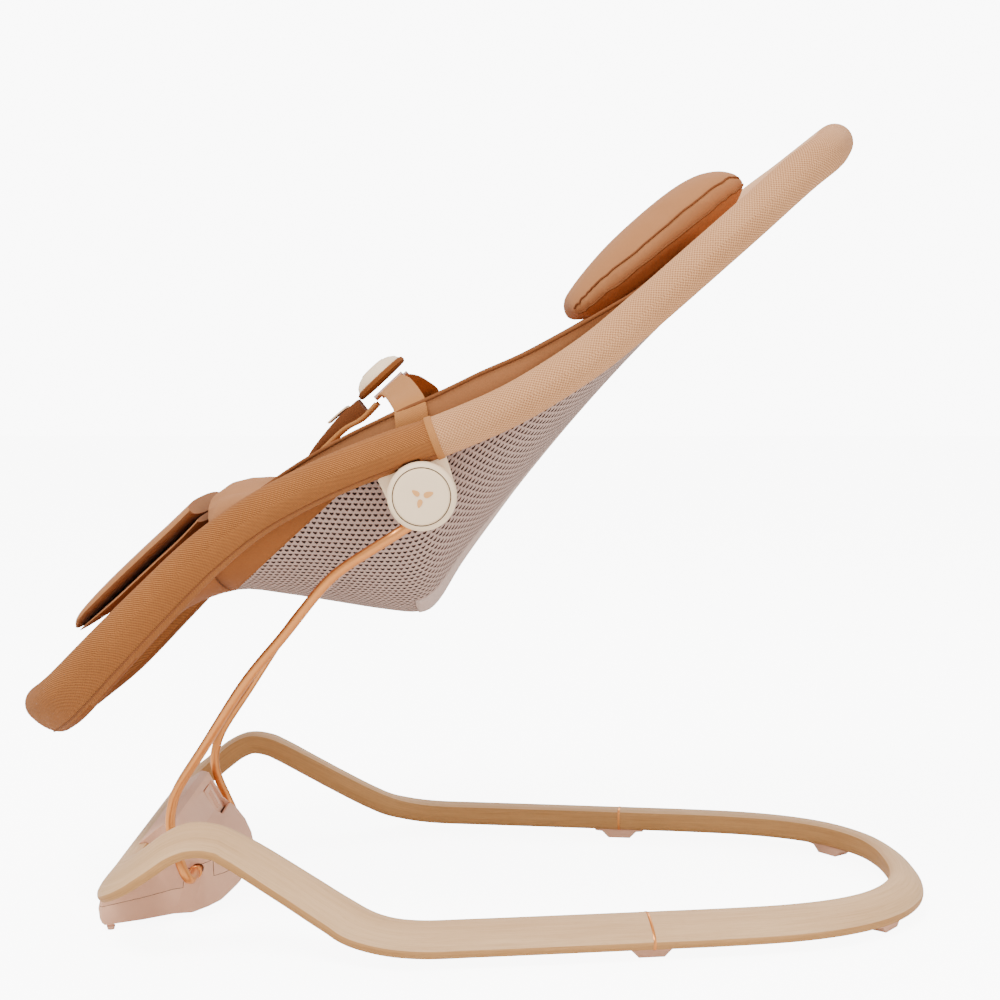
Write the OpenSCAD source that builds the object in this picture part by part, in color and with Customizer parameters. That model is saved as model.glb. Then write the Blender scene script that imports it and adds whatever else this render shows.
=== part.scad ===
// Bouncer seat: wooden floor loop, sprung rod legs, reclining ring seat with sling and liner.
// +X is the child's head end, +Z is up, the origin is on the floor under the middle.

/* [Base] */
// Width of the wooden rail along its sides
rail_w = 38; // [32:1:42]
// Width of the copper band at each rail joint
band_w = 2; // [1.5:0.5:3]
// Wall thickness of the moulded housing
wall = 2.5; // [2:0.5:3]

/* [Legs] */
// Diameter of the bent leg rods
rod_d = 8; // [7:0.5:9]
// Diameter of the shaft inside the housing
shaft_d = 12; // [11:0.5:13]
// Diameter of the round hubs
hub_d = 51; // [48:1:54]

/* [Seat] */
// Thickness of the padded sleeve on the seat ring
bolster_d = 31; // [28:1:34]
// Diameter of the tube inside the sleeve
tube_d = 16; // [14:1:18]
// Wall of that tube
tube_wall = 1.2; // [1:0.1:2]
// Thickness of the padded liner
inlay_t = 16; // [12:1:20]
// Thickness of the head pillow
pillow_t = 44; // [36:1:48]
// Width of the harness webbing
web_w = 25; // [20:1:28]

/* [Controls] */
// Diameter of the recline buttons
button_d = 41; // [38:1:43]
// Travel of the recline buttons
button_travel = 3; // [2:0.5:3]

/* [Hidden] */
$fn = 48;
fit = 0.05;    // radial running clearance
gap = 0.4;     // free space between pieces that move past each other
bush_d = shaft_d + 3;

// ---- Colours
oak = [0.80, 0.70, 0.59];
copper = [0.88, 0.65, 0.40];
blush = [0.85, 0.73, 0.66];
cream = [0.94, 0.87, 0.79];
steel = [0.70, 0.70, 0.72];
cognac = [0.67, 0.45, 0.28];
tan_knit = [0.84, 0.67, 0.51];
suede = [0.69, 0.51, 0.37];
mauve = [0.75, 0.65, 0.61];
caramel = [0.75, 0.57, 0.39];

// ---- Curves and lofts
function unit(v) = v / norm(v);
function knot(a, b, c, d, t) = 0.5 * (2*b + (c - a)*t + (2*a - 5*b + 4*c - d)*t*t
  + (3*b - a - 3*c + d)*t*t*t);
// a smooth closed curve through the points, with n steps between neighbours
function closed_curve(p, n) = let (m = len(p)) [for (i = [0:m - 1]) for (k = [0:n - 1])
  knot(p[(i - 1 + m) % m], p[i], p[(i + 1) % m], p[(i + 2) % m], k / n)];
// a smooth open curve through the points
function open_curve(p, n) = let (m = len(p)) concat([for (i = [0:m - 2]) for (k = [0:n - 1])
  knot(p[max(i - 1, 0)], p[i], p[i + 1], p[min(i + 2, m - 1)], k / n)], [p[m - 1]]);
function place(p) = [p[0], p[1], p[2]];
function slope_normal(a) = [-sin(a), 0, cos(a)];
function reversed(p) = [for (i = [len(p) - 1:-1:0]) p[i]];
function mirrored(p) = [for (q = p) [for (k = [0:len(q) - 1]) k == 1 ? -q[k] : q[k]]];
// a half loop on the +Y side, from its middle point to its middle point, made whole
function whole_loop(half) = concat(half,
  mirrored(reversed([for (i = [1:len(half) - 2]) half[i]])));
// the section's points placed at step i of a closed curve; column 3 is the plane's slope
function ring_at(path, i, section) = let (m = len(path), q = path[(i + m) % m],
  t = unit(place(path[(i + 1 + m) % m]) - place(path[(i - 1 + m) % m])),
  n = unit(cross(slope_normal(q[3]), t)), b = cross(t, n))
  [for (s = section) place(q) + s[0]*n + s[1]*b];

module loft(rings) {
  m = len(rings);
  n = len(rings[0]);
  sides = [for (i = [0:m - 2]) for (j = [0:n - 1]) let (a = i*n + j, b = i*n + (j + 1) % n)
    each [[a, a + n, b + n], [a, b + n, b]]];
  polyhedron([for (r = rings) each r], concat(sides, [[for (j = [0:n - 1]) j]],
    [[for (j = [n - 1:-1:0]) (m - 1)*n + j]]), convexity = 8);
}
// a loft of thin U sections, outer line first and inner line back, with its ends closed in strips
module sheet_loft(rings) {
  m = len(rings);
  n = len(rings[0]);
  e = (m - 1)*n;
  sides = [for (i = [0:m - 2]) for (j = [0:n - 1]) let (a = i*n + j, b = i*n + (j + 1) % n)
    each [[a, a + n, b + n], [a, b + n, b]]];
  ends = [for (j = [0:n/2 - 2]) let (a = n - 1 - j, b = n - 2 - j)
    each [[j, j + 1, b], [j, b, a], [e + b, e + j + 1, e + j], [e + a, e + b, e + j]]];
  polyhedron([for (r = rings) each r], concat(sides, ends), convexity = 8);
}
// a sleeve between outer and inner rings of the same count
module sleeve(outer, inner) {
  m = len(outer);
  n = len(outer[0]);
  o = m*n;
  walls = [for (i = [0:m - 2]) for (j = [0:n - 1]) let (a = i*n + j, b = i*n + (j + 1) % n)
    each [[a, a + n, b + n], [a, b + n, b], [o + a, o + b + n, o + a + n], [o + a, o + b, o + b + n]]];
  ends = [for (j = [0:n - 1]) let (k = (j + 1) % n, e = (m - 1)*n)
    each [[j, k, o + k], [j, o + k, o + j], [e + j, o + e + k, e + k], [e + j, o + e + j, o + e + k]]];
  polyhedron(concat([for (r = outer) each r], [for (r = inner) each r]), concat(walls, ends),
    convexity = 8);
}
function circle_points(r, n) = [for (k = [0:n - 1]) r*[cos(360*k/n), sin(360*k/n)]];
module both_sides() {
  children();
  mirror([0, 1, 0]) children();
}
module along_y(y0, y1, d) {
  translate([0, y0, 0]) rotate([-90, 0, 0]) cylinder(d = d, h = y1 - y0);
}

// ---- Wooden rail: inner top edge of the loop, slope of its plane and local width factor
rail_half = [[-258, 0, 68.5, 26, 1], [-258, 70, 68.5, 26, 1], [-258, 124, 68.5, 26, 1],
  [-255, 143, 71, 26, 1.16], [-245, 151, 79.5, 22, 1.2], [-230, 154.5, 91.5, 12, 1.06],
  [-214, 155, 98.5, 0, 1], [-197, 153, 97.5, 0, 1], [-180, 151.5, 91.5, 0, 1],
  [-155, 152.5, 78.5, 0, 1], [-120, 157.5, 58.5, 0, 1], [-90, 164, 42, 0, 1],
  [-66, 171, 32, 0, 1], [-40, 171.5, 28, 0, 1], [0, 167, 27.6, 0, 1], [70, 158, 27.6, 0, 1],
  [133, 149.5, 27.6, 0, 1], [195, 141, 27.6, 0, 1], [245, 131.5, 27.6, 0, 0.97],
  [285, 117, 27.6, 0, 0.9], [315, 96, 27.6, 0, 0.82], [337, 65, 27.6, 0, 0.76],
  [346, 33, 27.6, 0, 0.73], [348, 0, 27.6, 0, 0.72]];
rail_steps = 3;
rail = closed_curve(whole_loop(rail_half), rail_steps);
band_at = 16*rail_steps;                       // the joint's step on the +Y side
band_back = len(rail) - band_at;               // and on the -Y side
rail_shape = [[0.3, -3], [1.6, -0.8], [5, 0.9], [12, 1.4], [20, -0.9], [29, -5], [35, -8.8],
  [37.7, -12.5], [37.4, -16.5], [34.5, -19.2], [20, -19.5], [9, -19.5], [4.5, -17.5], [2, -13]];
function rail_ring(i, grow = 0) = let (w = rail[(i + len(rail)) % len(rail)][4] * rail_w / 38)
  ring_at(rail, i, [for (s = rail_shape) [s[0]*w, s[1]] + grow*unit([s[0] - 19, s[1] + 9])]);
function rail_point(i, out, up) = ring_at(rail, i, [[out, up]])[0];

// ---- Seat ring: centre line of the tube, slope, and how tall the sleeve is
ring_half = [[-360, 0, 163, 43, 45], [-346, 62, 173, 43, 45], [-321, 108, 192, 44, 44],
  [-283, 137, 228, 45, 41], [-242, 153, 267, 44, 38], [-202, 164, 303.5, 41, 35],
  [-163, 171, 332, 35, 32], [-125, 175, 353, 28, 31], [-88, 178, 370, 23, 31],
  [-51, 180, 384, 20, 31], [-26, 180, 392, 20, 31], [22, 180, 412, 25, 31],
  [58, 179, 432, 30, 31], [95, 176, 457, 37, 31], [132, 171, 488, 41, 31],
  [170, 165, 521, 41, 31], [208, 153, 554, 41, 31], [247, 131, 588, 41, 31],
  [272, 101, 607, 41, 31], [286, 54, 618.5, 41, 31], [296, 0, 627, 41, 31]];
ring_steps = 2;
ring = closed_curve(whole_loop(ring_half), ring_steps);
split_at = 10*ring_steps;
split_back = len(ring) - split_at;
sleeve_sides = 12;
// the sleeve grows downwards only, so the tube stays near its top
function sleeve_shape(tall) = [for (k = [0:sleeve_sides - 1]) let (a = 360*k/sleeve_sides,
  r = bolster_d/2, drop = tall - 31) [r*cos(a), r*sin(a) - (sin(a) < 0 ? drop*abs(sin(a)) : 0)]];
function sleeve_ring(i, grow = 0) = ring_at(ring, i,
  [for (s = sleeve_shape(ring[(i + len(ring)) % len(ring)][4])) s + grow*unit(s)]);
function tube_rings(r) = [for (i = [0:len(ring)/2]) ring_at(ring, i, circle_points(r, 8))];
function bore_ring(i) = ring_at(ring, i, circle_points(tube_d/2 + 0.3, sleeve_sides));

// ---- Seat: ring station x, z, the sling's half width, its bottom line x, z under the
// child, how far the liner's underside sags, its half width and how far its rims rise
seat_rows = [[-322, 190, 68, -313, 183, 0, 60, 12], [-287, 223, 110, -279, 208, 0, 80, 12],
  [-243, 264, 135, -236, 245, -10, 90, 12], [-202, 302.5, 147.5, -190, 262, -25, 105, 12],
  [-163, 331, 154.5, -147, 257, -1, 142, 14], [-125, 353, 158.5, -106, 249.5, 42, 154, 18],
  [-88, 370, 161.5, -70, 243.5, 70, 157, 22], [-51, 384, 163, -44, 241.5, 90, 159, 26],
  [-26, 392, 163, -29, 251, 94, 159, 30], [2, 404, 163, -10, 282, 80, 159, 33],
  [34, 418, 163, 14, 316, 62, 159, 35], [66, 437, 162, 39, 350, 42, 158, 36],
  [98, 460, 159, 72, 391, 26, 155, 32], [132, 488, 154, 104, 428, 17, 150, 24],
  [160, 512, 149, 133, 459, 15, 144, 17], [184, 533, 143, 163, 489, 14, 138, 12],
  [208, 554, 134, 194, 520, 12, 128, 12], [240, 580, 113, 229, 555, 10, 105, 12],
  [262, 598, 82, 254, 581, 8, 74, 12], [272, 606, 52, 265, 593, 6, 42, 12]];
seat_steps = 2;
seat = open_curve(seat_rows, seat_steps);
u_points = 15;
belly = 2.3;   // how full a section hangs: 2 is an ellipse
cloth_t = 2.2;
function bent(v) = sign(v) * pow(abs(v), 2/belly);
// a U from rim to rim: half width w, bottom at depth d, rims at height top
function u_line(q, w, d, top) = let (down = unit([q[3] - q[0], 0, q[4] - q[1]]),
  c = [q[0], 0, q[1]]) [for (k = [0:u_points - 1]) let (a = 180*k/(u_points - 1))
  c + [0, w*bent(cos(a)), 0] + down*(bent(sin(a))*(d + top) - top)];
function cloth_ring(i, top) = let (q = seat[i], d = norm([q[3] - q[0], q[4] - q[1]]))
  concat(u_line(q, q[2], d, top), reversed(u_line(q, q[2] - cloth_t, d - cloth_t, top + 0.4)));
function liner_ring(i) = let (q = seat[i]) concat(u_line(q, q[6], q[5], q[7]),
  reversed(u_line(q, q[6] - 0.8*inlay_t, q[5] - inlay_t, q[7] + 0.5)));

// ---- Leg flap and head pillow: stations along their length
flap_rows = [[-324, 230, 44, 7, 50], [-316, 239.5, 62, 15, 47], [-293, 261, 70, 20, 45],
  [-262, 290, 72, 21, 43], [-240, 310, 76, 21, 40], [-222, 327.5, 82, 20, 34]];
pillow_start = [79, 479.5];
pillow_slope = 38.4;
pillow_belly = 14;   // how far its underside hangs into the seat
pillow_rows = [[2, 78, 0.26], [6, 84, 0.38], [13, 90, 0.47], [23, 94, 0.55], [36, 97, 0.64],
  [63, 100, 0.77], [95, 100, 0.84], [127, 99, 0.85], [149, 95, 0.78], [162, 90, 0.64],
  [171, 82, 0.47], [177, 72, 0.26]];
function slab(c, slope, w, up, low, n = 16) = let (b = slope_normal(slope))
  [for (k = [0:n - 1]) let (a = 360*k/n, h = sin(a)) c + [0, w*bent(cos(a)), 0]
  + b*(h > 0 ? up*bent(h) : low*bent(h))];

// ---- Leg rods: centre line on the +Y side, from the shaft up to the hub
pivot = [-222, 40];
hub = [-35, 350];
wall_y = 88;         // half width of the housing
shaft_half = 72;     // half length of the shaft inside it
hub_in = 183;        // inner face of the leg hub
hub_t = 16;          // its thickness
rod_end_y = hub_in + 5;
rod_in = [0.84, 0, 0.543];    // the rod's direction where it enters the hub
rod_tip = [-42, rod_end_y, 329.5];
rod_points = [[-222, 56, 40], [-222, 80, 40], [-222, 100, 40], [-222, 107, 40],
  [-223.5, 112, 41.5], [-226, 114, 46], [-229, 113.5, 53], [-234, 111, 66], [-237.5, 109, 80], [-237, 109, 95], [-230, 111.5, 115],
  [-208, 121, 149], [-173, 141, 203], [-141, 156, 242], [-119, 167, 270], [-105, 173, 286],
  [-91, 178, 297.5], [-74, rod_end_y - 4, 308.8], rod_tip - 20*rod_in, rod_tip - 12*rod_in,
  rod_tip];
rod = open_curve(rod_points, 3);
function rod_ring(i) = let (m = len(rod), q = rod[i],
  t = i == 0 ? [0, 1, 0] : unit(rod[min(i + 1, m - 1)] - rod[i - 1]),
  n = unit(cross([0.3, -0.2, 0.9], t)), b = cross(t, n))
  [for (s = circle_points(rod_d/2, 10)) q + s[0]*n + s[1]*b];

// ---- Harness: strap centre lines on the +Y side, width direction beside each point
buckle = [-76, 0, 436];
buckle_slope = 43;
bar_place = [-68, 40, 428];
waist_line = [[-43, 162, 396, 20], [-44, 161.8, 408, 20], [-46, 157, 416.5, 21],
  [-49, 146, 420.5, 22], [-53, 122, 424, 25], [-59, 88, 428, 32], [-65, 58, 429, 39], [-68, 45, 428, 43]];
crotch_line = [[-95, 0, 417], [-108, 0, 404.5], [-122, 0, 387], [-134, 0, 371], [-141, 0, 356]];
function strip_ring(line, i, side, w, t) = let (m = len(line),
  d = unit(place(line[min(i + 1, m - 1)]) - place(line[max(i - 1, 0)])),
  b = unit(cross(d, side)), n = cross(b, d))
  [for (s = [[-1, -1], [1, -1], [1, 1], [-1, 1]]) place(line[i]) + s[0]*n*w/2 + s[1]*b*t/2];

// ---- Housing: side outline, plan outline and the line where the shells part
house_side = [[-289, 5.5], [-293.5, 10], [-295, 18], [-292.5, 27], [-284, 34.5], [-270, 61.5],
  [-262, 69], [-247, 80], [-240, 79.5], [-227, 58], [-213, 50.5], [-203, 43.5], [-191.5, 33],
  [-189, 26], [-194, 17], [-206, 9.5], [-225, 5.5]];
house_plan = concat([[-297, -110], [-291, -118], [-262, -103]], [for (a = [-90:15:90])
  [-240 + 51*cos(a), wall_y*sin(a)]], [[-262, 103], [-291, 118], [-297, 110]]);
house_low = [[-310, -10], [-310, 18.4], [-232.5, 26.2], [-231, 41], [-211, 45],
  [-210.5, 31.4], [-170, 30.2], [-170, -10]];
switch_at = [-231.5, 60, 62.5];   // middle of the switch recess in the rear slope
switch_slope = 62;
// x, y and top of the screw posts, where the screw head sits and how long the screw is
house_posts = [[-277, 60, 33, 6.4, 39], [-205, 34, 16.8, 9.4, 18]];
foot_at = [-286, 109, 0];         // the right rubber foot

// ==== Base ====
module dowel_pair(extra = 0) {
  both_sides() translate(rail_point(band_at, 18, -9.5)) rotate([0, 90, -7.5])
    cylinder(d = 6, h = 50 + extra, center = true);
}
module front_bow() {
  color(oak) difference() {
    loft(concat([[for (p = rail_ring(-band_at)) p - [band_w/2, 0, 0]]],
      [for (i = [1 - band_at:band_at - 1]) rail_ring(i)],
      [[for (p = rail_ring(band_at)) p - [band_w/2, 0, 0]]]));
    dowel_pair(1);
    pad_bores();
    house_bores(3.24, 34, 46);
  }
}
module rear_bow() {
  color(oak) difference() {
    loft(concat([[for (p = rail_ring(band_at)) p + [band_w/2, 0, 0]]],
      [for (i = [band_at + 1:band_back - 1]) rail_ring(i)],
      [[for (p = rail_ring(band_back)) p + [band_w/2, 0, 0]]]));
    dowel_pair(1);
    pad_bores();
  }
}
module joint_band() {
  color(copper) difference() {
    loft([for (s = [-1, 1]) [for (p = rail_ring(band_at, 0.3)) p + [s*band_w/2, 0, 0]]]);
    dowel_pair(1);
  }
}
module joint_band_left() { mirror([0, 1, 0]) joint_band(); }
module joint_band_right() { joint_band(); }
module joint_dowels() { color(steel) dowel_pair(); }

module house_solid(inset) {
  intersection() {
    rotate([90, 0, 0]) linear_extrude(250, center = true) offset(delta = -inset)
      polygon(house_side);
    linear_extrude(100) offset(delta = -inset) polygon(house_plan);
  }
}
module bar_channel() {
  rotate([90, 0, 0]) linear_extrude(250, center = true)
    polygon([for (p = rail_ring(0, 0.4)) [p[0], p[2]]]);
}
module at_switch() {
  translate(switch_at) rotate([0, switch_slope, 0]) children();
}
// everything under the parting line
module low_half(grow = 0) {
  rotate([90, 0, 0]) linear_extrude(260, center = true) offset(delta = grow) polygon(house_low);
}
module house_shell() {
  difference() {
    house_solid(0);
    house_solid(wall);
    bar_channel();
    translate([pivot[0], 0, pivot[1]]) along_y(-110, 110, rod_d + 1.6);
  }
}
module saddle() {
  // a rib that holds the bush
  both_sides() difference() {
    translate([pivot[0] - 13, 60, 3]) cube([26, 10, pivot[1] - 3.5]);
    translate([pivot[0], 0, pivot[1]]) along_y(50, 80, bush_d + 0.04);
  }
}
module house_bores(d, z0, z1) {
  for (p = house_posts) both_sides() translate([p[0], p[1], z0]) cylinder(d = d, h = z1 - z0);
}
module housing_upper() {
  color(blush) difference() {
    union() {
      difference() {
        house_shell();
        low_half(gap);
      }
      intersection() {
        house_solid(1);
        union() {
          // the floor under the switch and the posts at the back
          at_switch() translate([-16, -23, -4.4]) cube([29.4, 46, 4]);
          both_sides() translate([house_posts[1][0], house_posts[1][1], 17.4]) cylinder(d = 8, h = 30);
        }
      }
    }
    at_switch() translate([-13, -21, -2]) cube([26, 42, 9]);
    both_sides() translate([house_posts[1][0], house_posts[1][1], 12]) cylinder(d = 3.24, h = 17);
  }
}
module housing_lower() {
  color(blush) difference() {
    union() {
      intersection() {
        house_shell();
        low_half();
      }
      intersection() {
        house_solid(0.6);
        union() {
          intersection() {
            saddle();
            low_half();
          }
          for (p = house_posts) both_sides() translate([p[0], p[1], 2]) cylinder(d = 9, h = p[2] - 2);
        }
      }
    }
    house_bores(3.4, 0, 40);
    for (p = house_posts) both_sides() translate([p[0], p[1], 0]) cylinder(d = 6.4, h = p[3] + 1.6);
    both_sides() translate(foot_at) cylinder(d = 5, h = 12);
  }
}
module housing_screws() {
  color(steel) both_sides() for (p = house_posts) translate([p[0], p[1], p[3]]) union() {
    cylinder(d = 6, h = 1.6);
    cylinder(d = 3.2, h = p[4]);
  }
}
module shaft_bush() {
  color("dimgray") translate([pivot[0], 0, pivot[1]]) difference() {
    along_y(60, 70, bush_d);
    along_y(59, 71, shaft_d + 2*fit);
  }
}
module shaft_bush_left() { mirror([0, 1, 0]) shaft_bush(); }
module shaft_bush_right() { shaft_bush(); }

// a coil round the shaft, with n sides to its wire
module coil(r, wire, turns, pitch, steps, sides = 6) {
  m = turns*steps;
  rings = [for (i = [0:m]) let (a = 360*i/steps) [for (k = [0:sides - 1])
    let (b = 360*k/sides, q = r + wire/2*cos(b)) [q*cos(a), q*sin(a), pitch*i/steps
    + wire/2*sin(b)]]];
  loft([for (r = rings) reversed(r)]);
}
module bounce_spring() {
  color(steel) translate([pivot[0], 35, pivot[1]]) rotate([-90, 0, 0])
    coil(shaft_d/2 + 2.6, 2.4, 5, 4, 14);
}
module bounce_spring_left() { mirror([0, 1, 0]) bounce_spring(); }
module bounce_spring_right() { bounce_spring(); }

// x, y, z, turn and the screws' offsets
pad_mid = concat(rail_point(band_at, 18, 0), [-7.5, [-6.2, 6.2]]);
pad_rear = concat(rail_point(20*rail_steps, 15, 0), [-52, [0]]);
rail_bottom = 27.6 - 19.5;
module glide_pad(at, w) {
  // a flat foot with two thin wings against the wood
  color(blush) difference() {
    translate([at[0], at[1], 0]) rotate(at[3]) union() {
      rotate([90, 0, 0]) linear_extrude(w, center = true) polygon([[-10, 0], [10, 0],
        [14, 4], [16, rail_bottom - 2.2], [22, rail_bottom - 1.6], [23, rail_bottom],
        [-23, rail_bottom], [-22, rail_bottom - 1.6], [-16, rail_bottom - 2.2], [-14, 4]]);
    }
    for (p = at[4]) translate([at[0] + p, at[1], -1]) {
      cylinder(d = 3.2, h = 20);
      cylinder(d = 6.6, h = 4.4);
    }
    // room for the copper band
    if (at == pad_mid) translate([at[0], at[1], rail_bottom + 1.5]) rotate(at[3])
      cube([band_w + 2*gap, 60, 3.9], center = true);
  }
}
module pad_bores() {
  both_sides() for (at = [pad_mid, pad_rear]) for (p = at[4])
    translate([at[0] + p, at[1], 0]) cylinder(d = 3.04, h = 13.6);
}
module glide_pad_mid_left() { mirror([0, 1, 0]) glide_pad(pad_mid, 18); }
module glide_pad_mid_right() { glide_pad(pad_mid, 18); }
module glide_pad_rear_left() { mirror([0, 1, 0]) glide_pad(pad_rear, 16); }
module glide_pad_rear_right() { glide_pad(pad_rear, 16); }
module pad_screws() {
  color(steel) both_sides() for (at = [pad_mid, pad_rear]) for (p = at[4])
    translate([at[0] + p, at[1], 1]) union() {
      cylinder(d = 6.4, h = 2.2);
      cylinder(d = 3, h = 12.4);
    }
}
module front_feet() {
  color("dimgray") both_sides() translate(foot_at) union() {
    cylinder(d1 = 5.4, d2 = 7, h = 3, $fn = 48);
    translate([0, 0, 2.8]) cylinder(d = 4.9, h = 7);
  }
}

// ==== Legs ====
module leg_rod() {
  color(copper) union() {
    loft([for (i = [0:len(rod) - 1]) rod_ring(i)]);
    translate([pivot[0], 0, pivot[1]]) along_y(wall_y - 1, wall_y + 2, rod_d + 2.4);
  }
}
module leg_rod_left() { mirror([0, 1, 0]) leg_rod(); }
module leg_rod_right() { leg_rod(); }
module cross_shaft() {
  color(steel) translate([pivot[0], 0, pivot[1]]) difference() {
    along_y(-shaft_half, shaft_half, shaft_d);
    both_sides() along_y(55.5, shaft_half + 1, rod_d + 0.04);
  }
}
module lock_cam() {
  color(steel) translate([pivot[0], 0, pivot[1]]) difference() {
    along_y(26, 30, 20);
    along_y(25, 31, shaft_d + 0.04);
    // the notch that the slide's lock drops into
    rotate([0, 28, 0]) translate([0, 28, 10]) cube([4, 6, 4], center = true);
  }
}
module at_hub() {
  translate([hub[0], hub_in, hub[1]]) rotate([-90, 0, 0]) children();
}
module leg_hub() {
  color(cream) difference() {
    at_hub() difference() {
      rotate_extrude() polygon(concat([[0, 0], [hub_d/2 - 1, 0], [hub_d/2, 1]],
        [for (a = [0:15:90]) [hub_d/2 - 4 + 4*cos(a), hub_t - 4 + 4*sin(a)]], [[0, hub_t]]));
      translate([0, 0, 13.5 - button_travel]) cylinder(r = button_d/2 + gap, h = 10);
      translate([0, 0, 4.5]) cylinder(r = 12, h = 10);
      translate([0, 0, -1]) cylinder(r = 4 + fit, h = 10);
    }
    translate(rod_tip - 14*rod_in) rotate([0, 90 - asin(rod_in[2]), 0])
      cylinder(d = rod_d + 0.04, h = 14.2);
  }
}
module leg_hub_left() { mirror([0, 1, 0]) leg_hub(); }
module leg_hub_right() { leg_hub(); }

// ==== Seat ====
module ring_tube() {
  // two bent halves that meet at the foot and at the head
  color(steel) both_sides() translate([0, 0.1, 0]) sleeve(tube_rings(tube_d/2),
    tube_rings(tube_d/2 - tube_wall));
}
module hub_bracket() {
  color(cream) difference() {
    translate([0, hub_in - gap, 0]) rotate([90, 0, 0]) linear_extrude(6.5) hull() {
      translate(hub) circle(d = hub_d - 1);
      polygon([[-68, 361], [-58, 373], [-24, 380], [-17.5, 378.5]]);
    }
    at_hub() {
      translate([0, 0, -2.2 - gap]) cylinder(r = 18.3, h = 5);
      translate([0, 0, -10]) cylinder(r = 4, h = 20);
    }
  }
}
module hub_bracket_left() { mirror([0, 1, 0]) hub_bracket(); }
module hub_bracket_right() { hub_bracket(); }
module hub_axle() {
  color(steel) at_hub() union() {
    translate([0, 0, -9]) cylinder(r = 4, h = 13.8);
    translate([0, 0, 4.7]) cylinder(r = 7, h = 2.4);
    translate([0, 0, -9.4]) cylinder(r = 7, h = 2.4);
  }
}
module hub_axle_left() { mirror([0, 1, 0]) hub_axle(); }
module hub_axle_right() { hub_axle(); }
module index_plate() {
  color(steel) at_hub() translate([0, 0, -2 - gap]) difference() {
    cylinder(r = 18, h = 1.8);
    translate([0, 0, -1]) cylinder(r = 4, h = 4);
    for (k = [0:11]) rotate(30*k) translate([18, 0, -1]) cylinder(r = 1.6, h = 4);
  }
}
module index_plate_left() { mirror([0, 1, 0]) index_plate(); }
module index_plate_right() { index_plate(); }

module bolster(first, last) {
  difference() {
    bolster_skin(first, last);
    both_sides() at_hub() translate([0, 0, -gap]) cylinder(d = hub_d + 2*gap, h = 20);
  }
}
module bolster_skin(first, last) {
  sleeve([for (i = [first:last]) sleeve_ring(i)], [for (i = [first:last]) bore_ring(i)]);
}
module bolster_foot() { color(cognac) bolster(-split_at, split_at); }
module bolster_head() { color(tan_knit) bolster(split_at, split_back); }
module binding() {
  // a thin band over the seam between the sleeves
  color(caramel) sleeve([for (s = [-2.5, 2.5]) [for (p = sleeve_ring(split_at, 1.1)) p + [s, 0, 0.35*s]]],
    [for (s = [-2.5, 2.5]) [for (p = sleeve_ring(split_at, 0.3)) p + [s, 0, 0.35*s]]]);
}
module binding_left() { mirror([0, 1, 0]) binding(); }
module binding_right() { binding(); }
module mesh_sling() {
  color(mauve) sheet_loft([for (i = [3*seat_steps:14*seat_steps]) cloth_ring(i, 4)]);
}
module foot_panel() {
  color(suede) sheet_loft([for (i = [0:3*seat_steps]) cloth_ring(i, 0)]);
}
module head_panel() {
  color(tan_knit) sheet_loft([for (i = [14*seat_steps:19*seat_steps]) cloth_ring(i, 4)]);
}
module inlay() {
  color(suede) sheet_loft([for (i = [3*seat_steps:15*seat_steps]) liner_ring(i)]);
}
module leg_flap() {
  color(suede) loft([for (q = open_curve(flap_rows, 2)) slab([q[0], 0, q[1]], q[4], q[2],
    q[3]/2, q[3]/2)]);
}
module strap(line, side_of, w, t) {
  color(caramel) loft([for (i = [0:len(line) - 1]) strip_ring(line, i, side_of(line[i]), w, t)]);
}
module waist_strap() {
  line = open_curve(waist_line, 3);
  strap(line, function (q) [cos(q[3]), 0, sin(q[3])], web_w, 1.6);
}
module waist_strap_left() { mirror([0, 1, 0]) waist_strap(); }
module waist_strap_right() { waist_strap(); }
module crotch_strap() {
  strap(open_curve(crotch_line, 2), function (q) [0, 1, 0], 34, 5);
}
module at_buckle() {
  translate(buckle) rotate([0, -buckle_slope, 0]) children();
}
module buckle_base() {
  color(cream) difference() {
    at_buckle() intersection() {
      cylinder(d = 46, h = 13);
      translate([0, 0, -30]) sphere(r = 43, $fn = 64);
    }
    at_buckle() translate([0, 0, 4]) cylinder(d = 24 + 2*gap, h = 20);
  }
}
module slider_bar() {
  color([0.78, 0.58, 0.50]) translate(bar_place) rotate([0, 90 - buckle_slope, 0])
    translate([0, 0, -15]) difference() {
      union() {
        translate([0, -3.2, 0]) cylinder(d = 4.4, h = 30);
        translate([0, 3.6, 0]) cylinder(d = 4.4, h = 30);
        translate([-2, -3, 0]) cube([4, 6.6, 2]);
        translate([-2, -3, 28]) cube([4, 6.6, 2]);
      }
    }
}
module slider_bar_left() { mirror([0, 1, 0]) slider_bar(); }
module slider_bar_right() { slider_bar(); }

// ==== Controls and pillow ====
module recline_button() {
  color(cream) at_hub() translate([0, 0, 14.2]) union() {
    rotate_extrude() polygon(concat([[0, 0], [button_d/2, 0]], [for (a = [0:30:90])
      [button_d/2 - 1.5 + 1.5*cos(a), 1.5 + 1.5*sin(a)]], [[0, 3]]));
    translate([0, 0, -3.8]) cylinder(r = 4, h = 4);
  }
}
module recline_button_left() { mirror([0, 1, 0]) recline_button(); }
module recline_button_right() { recline_button(); }
module button_spring() {
  color(steel) at_hub() translate([0, 0, 5.2]) coil(9.6, 0.9, 3, 1.7, 14);
}
module button_spring_left() { mirror([0, 1, 0]) button_spring(); }
module button_spring_right() { button_spring(); }
module mode_slide() {
  color(blush) at_switch() translate([-12, -20.2, -1.6]) union() {
    cube([24, 30, 3]);
    for (y = [10:4:20]) translate([4, y, 2]) cube([16, 1.6, 2]);
  }
}
module buckle_button() {
  color(cream) at_buckle() translate([0, 0, 7.2]) difference() {
    cylinder(d = 24, h = 8);
    translate([0, 0, 36]) sphere(r = 31, $fn = 64);
  }
}
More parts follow.
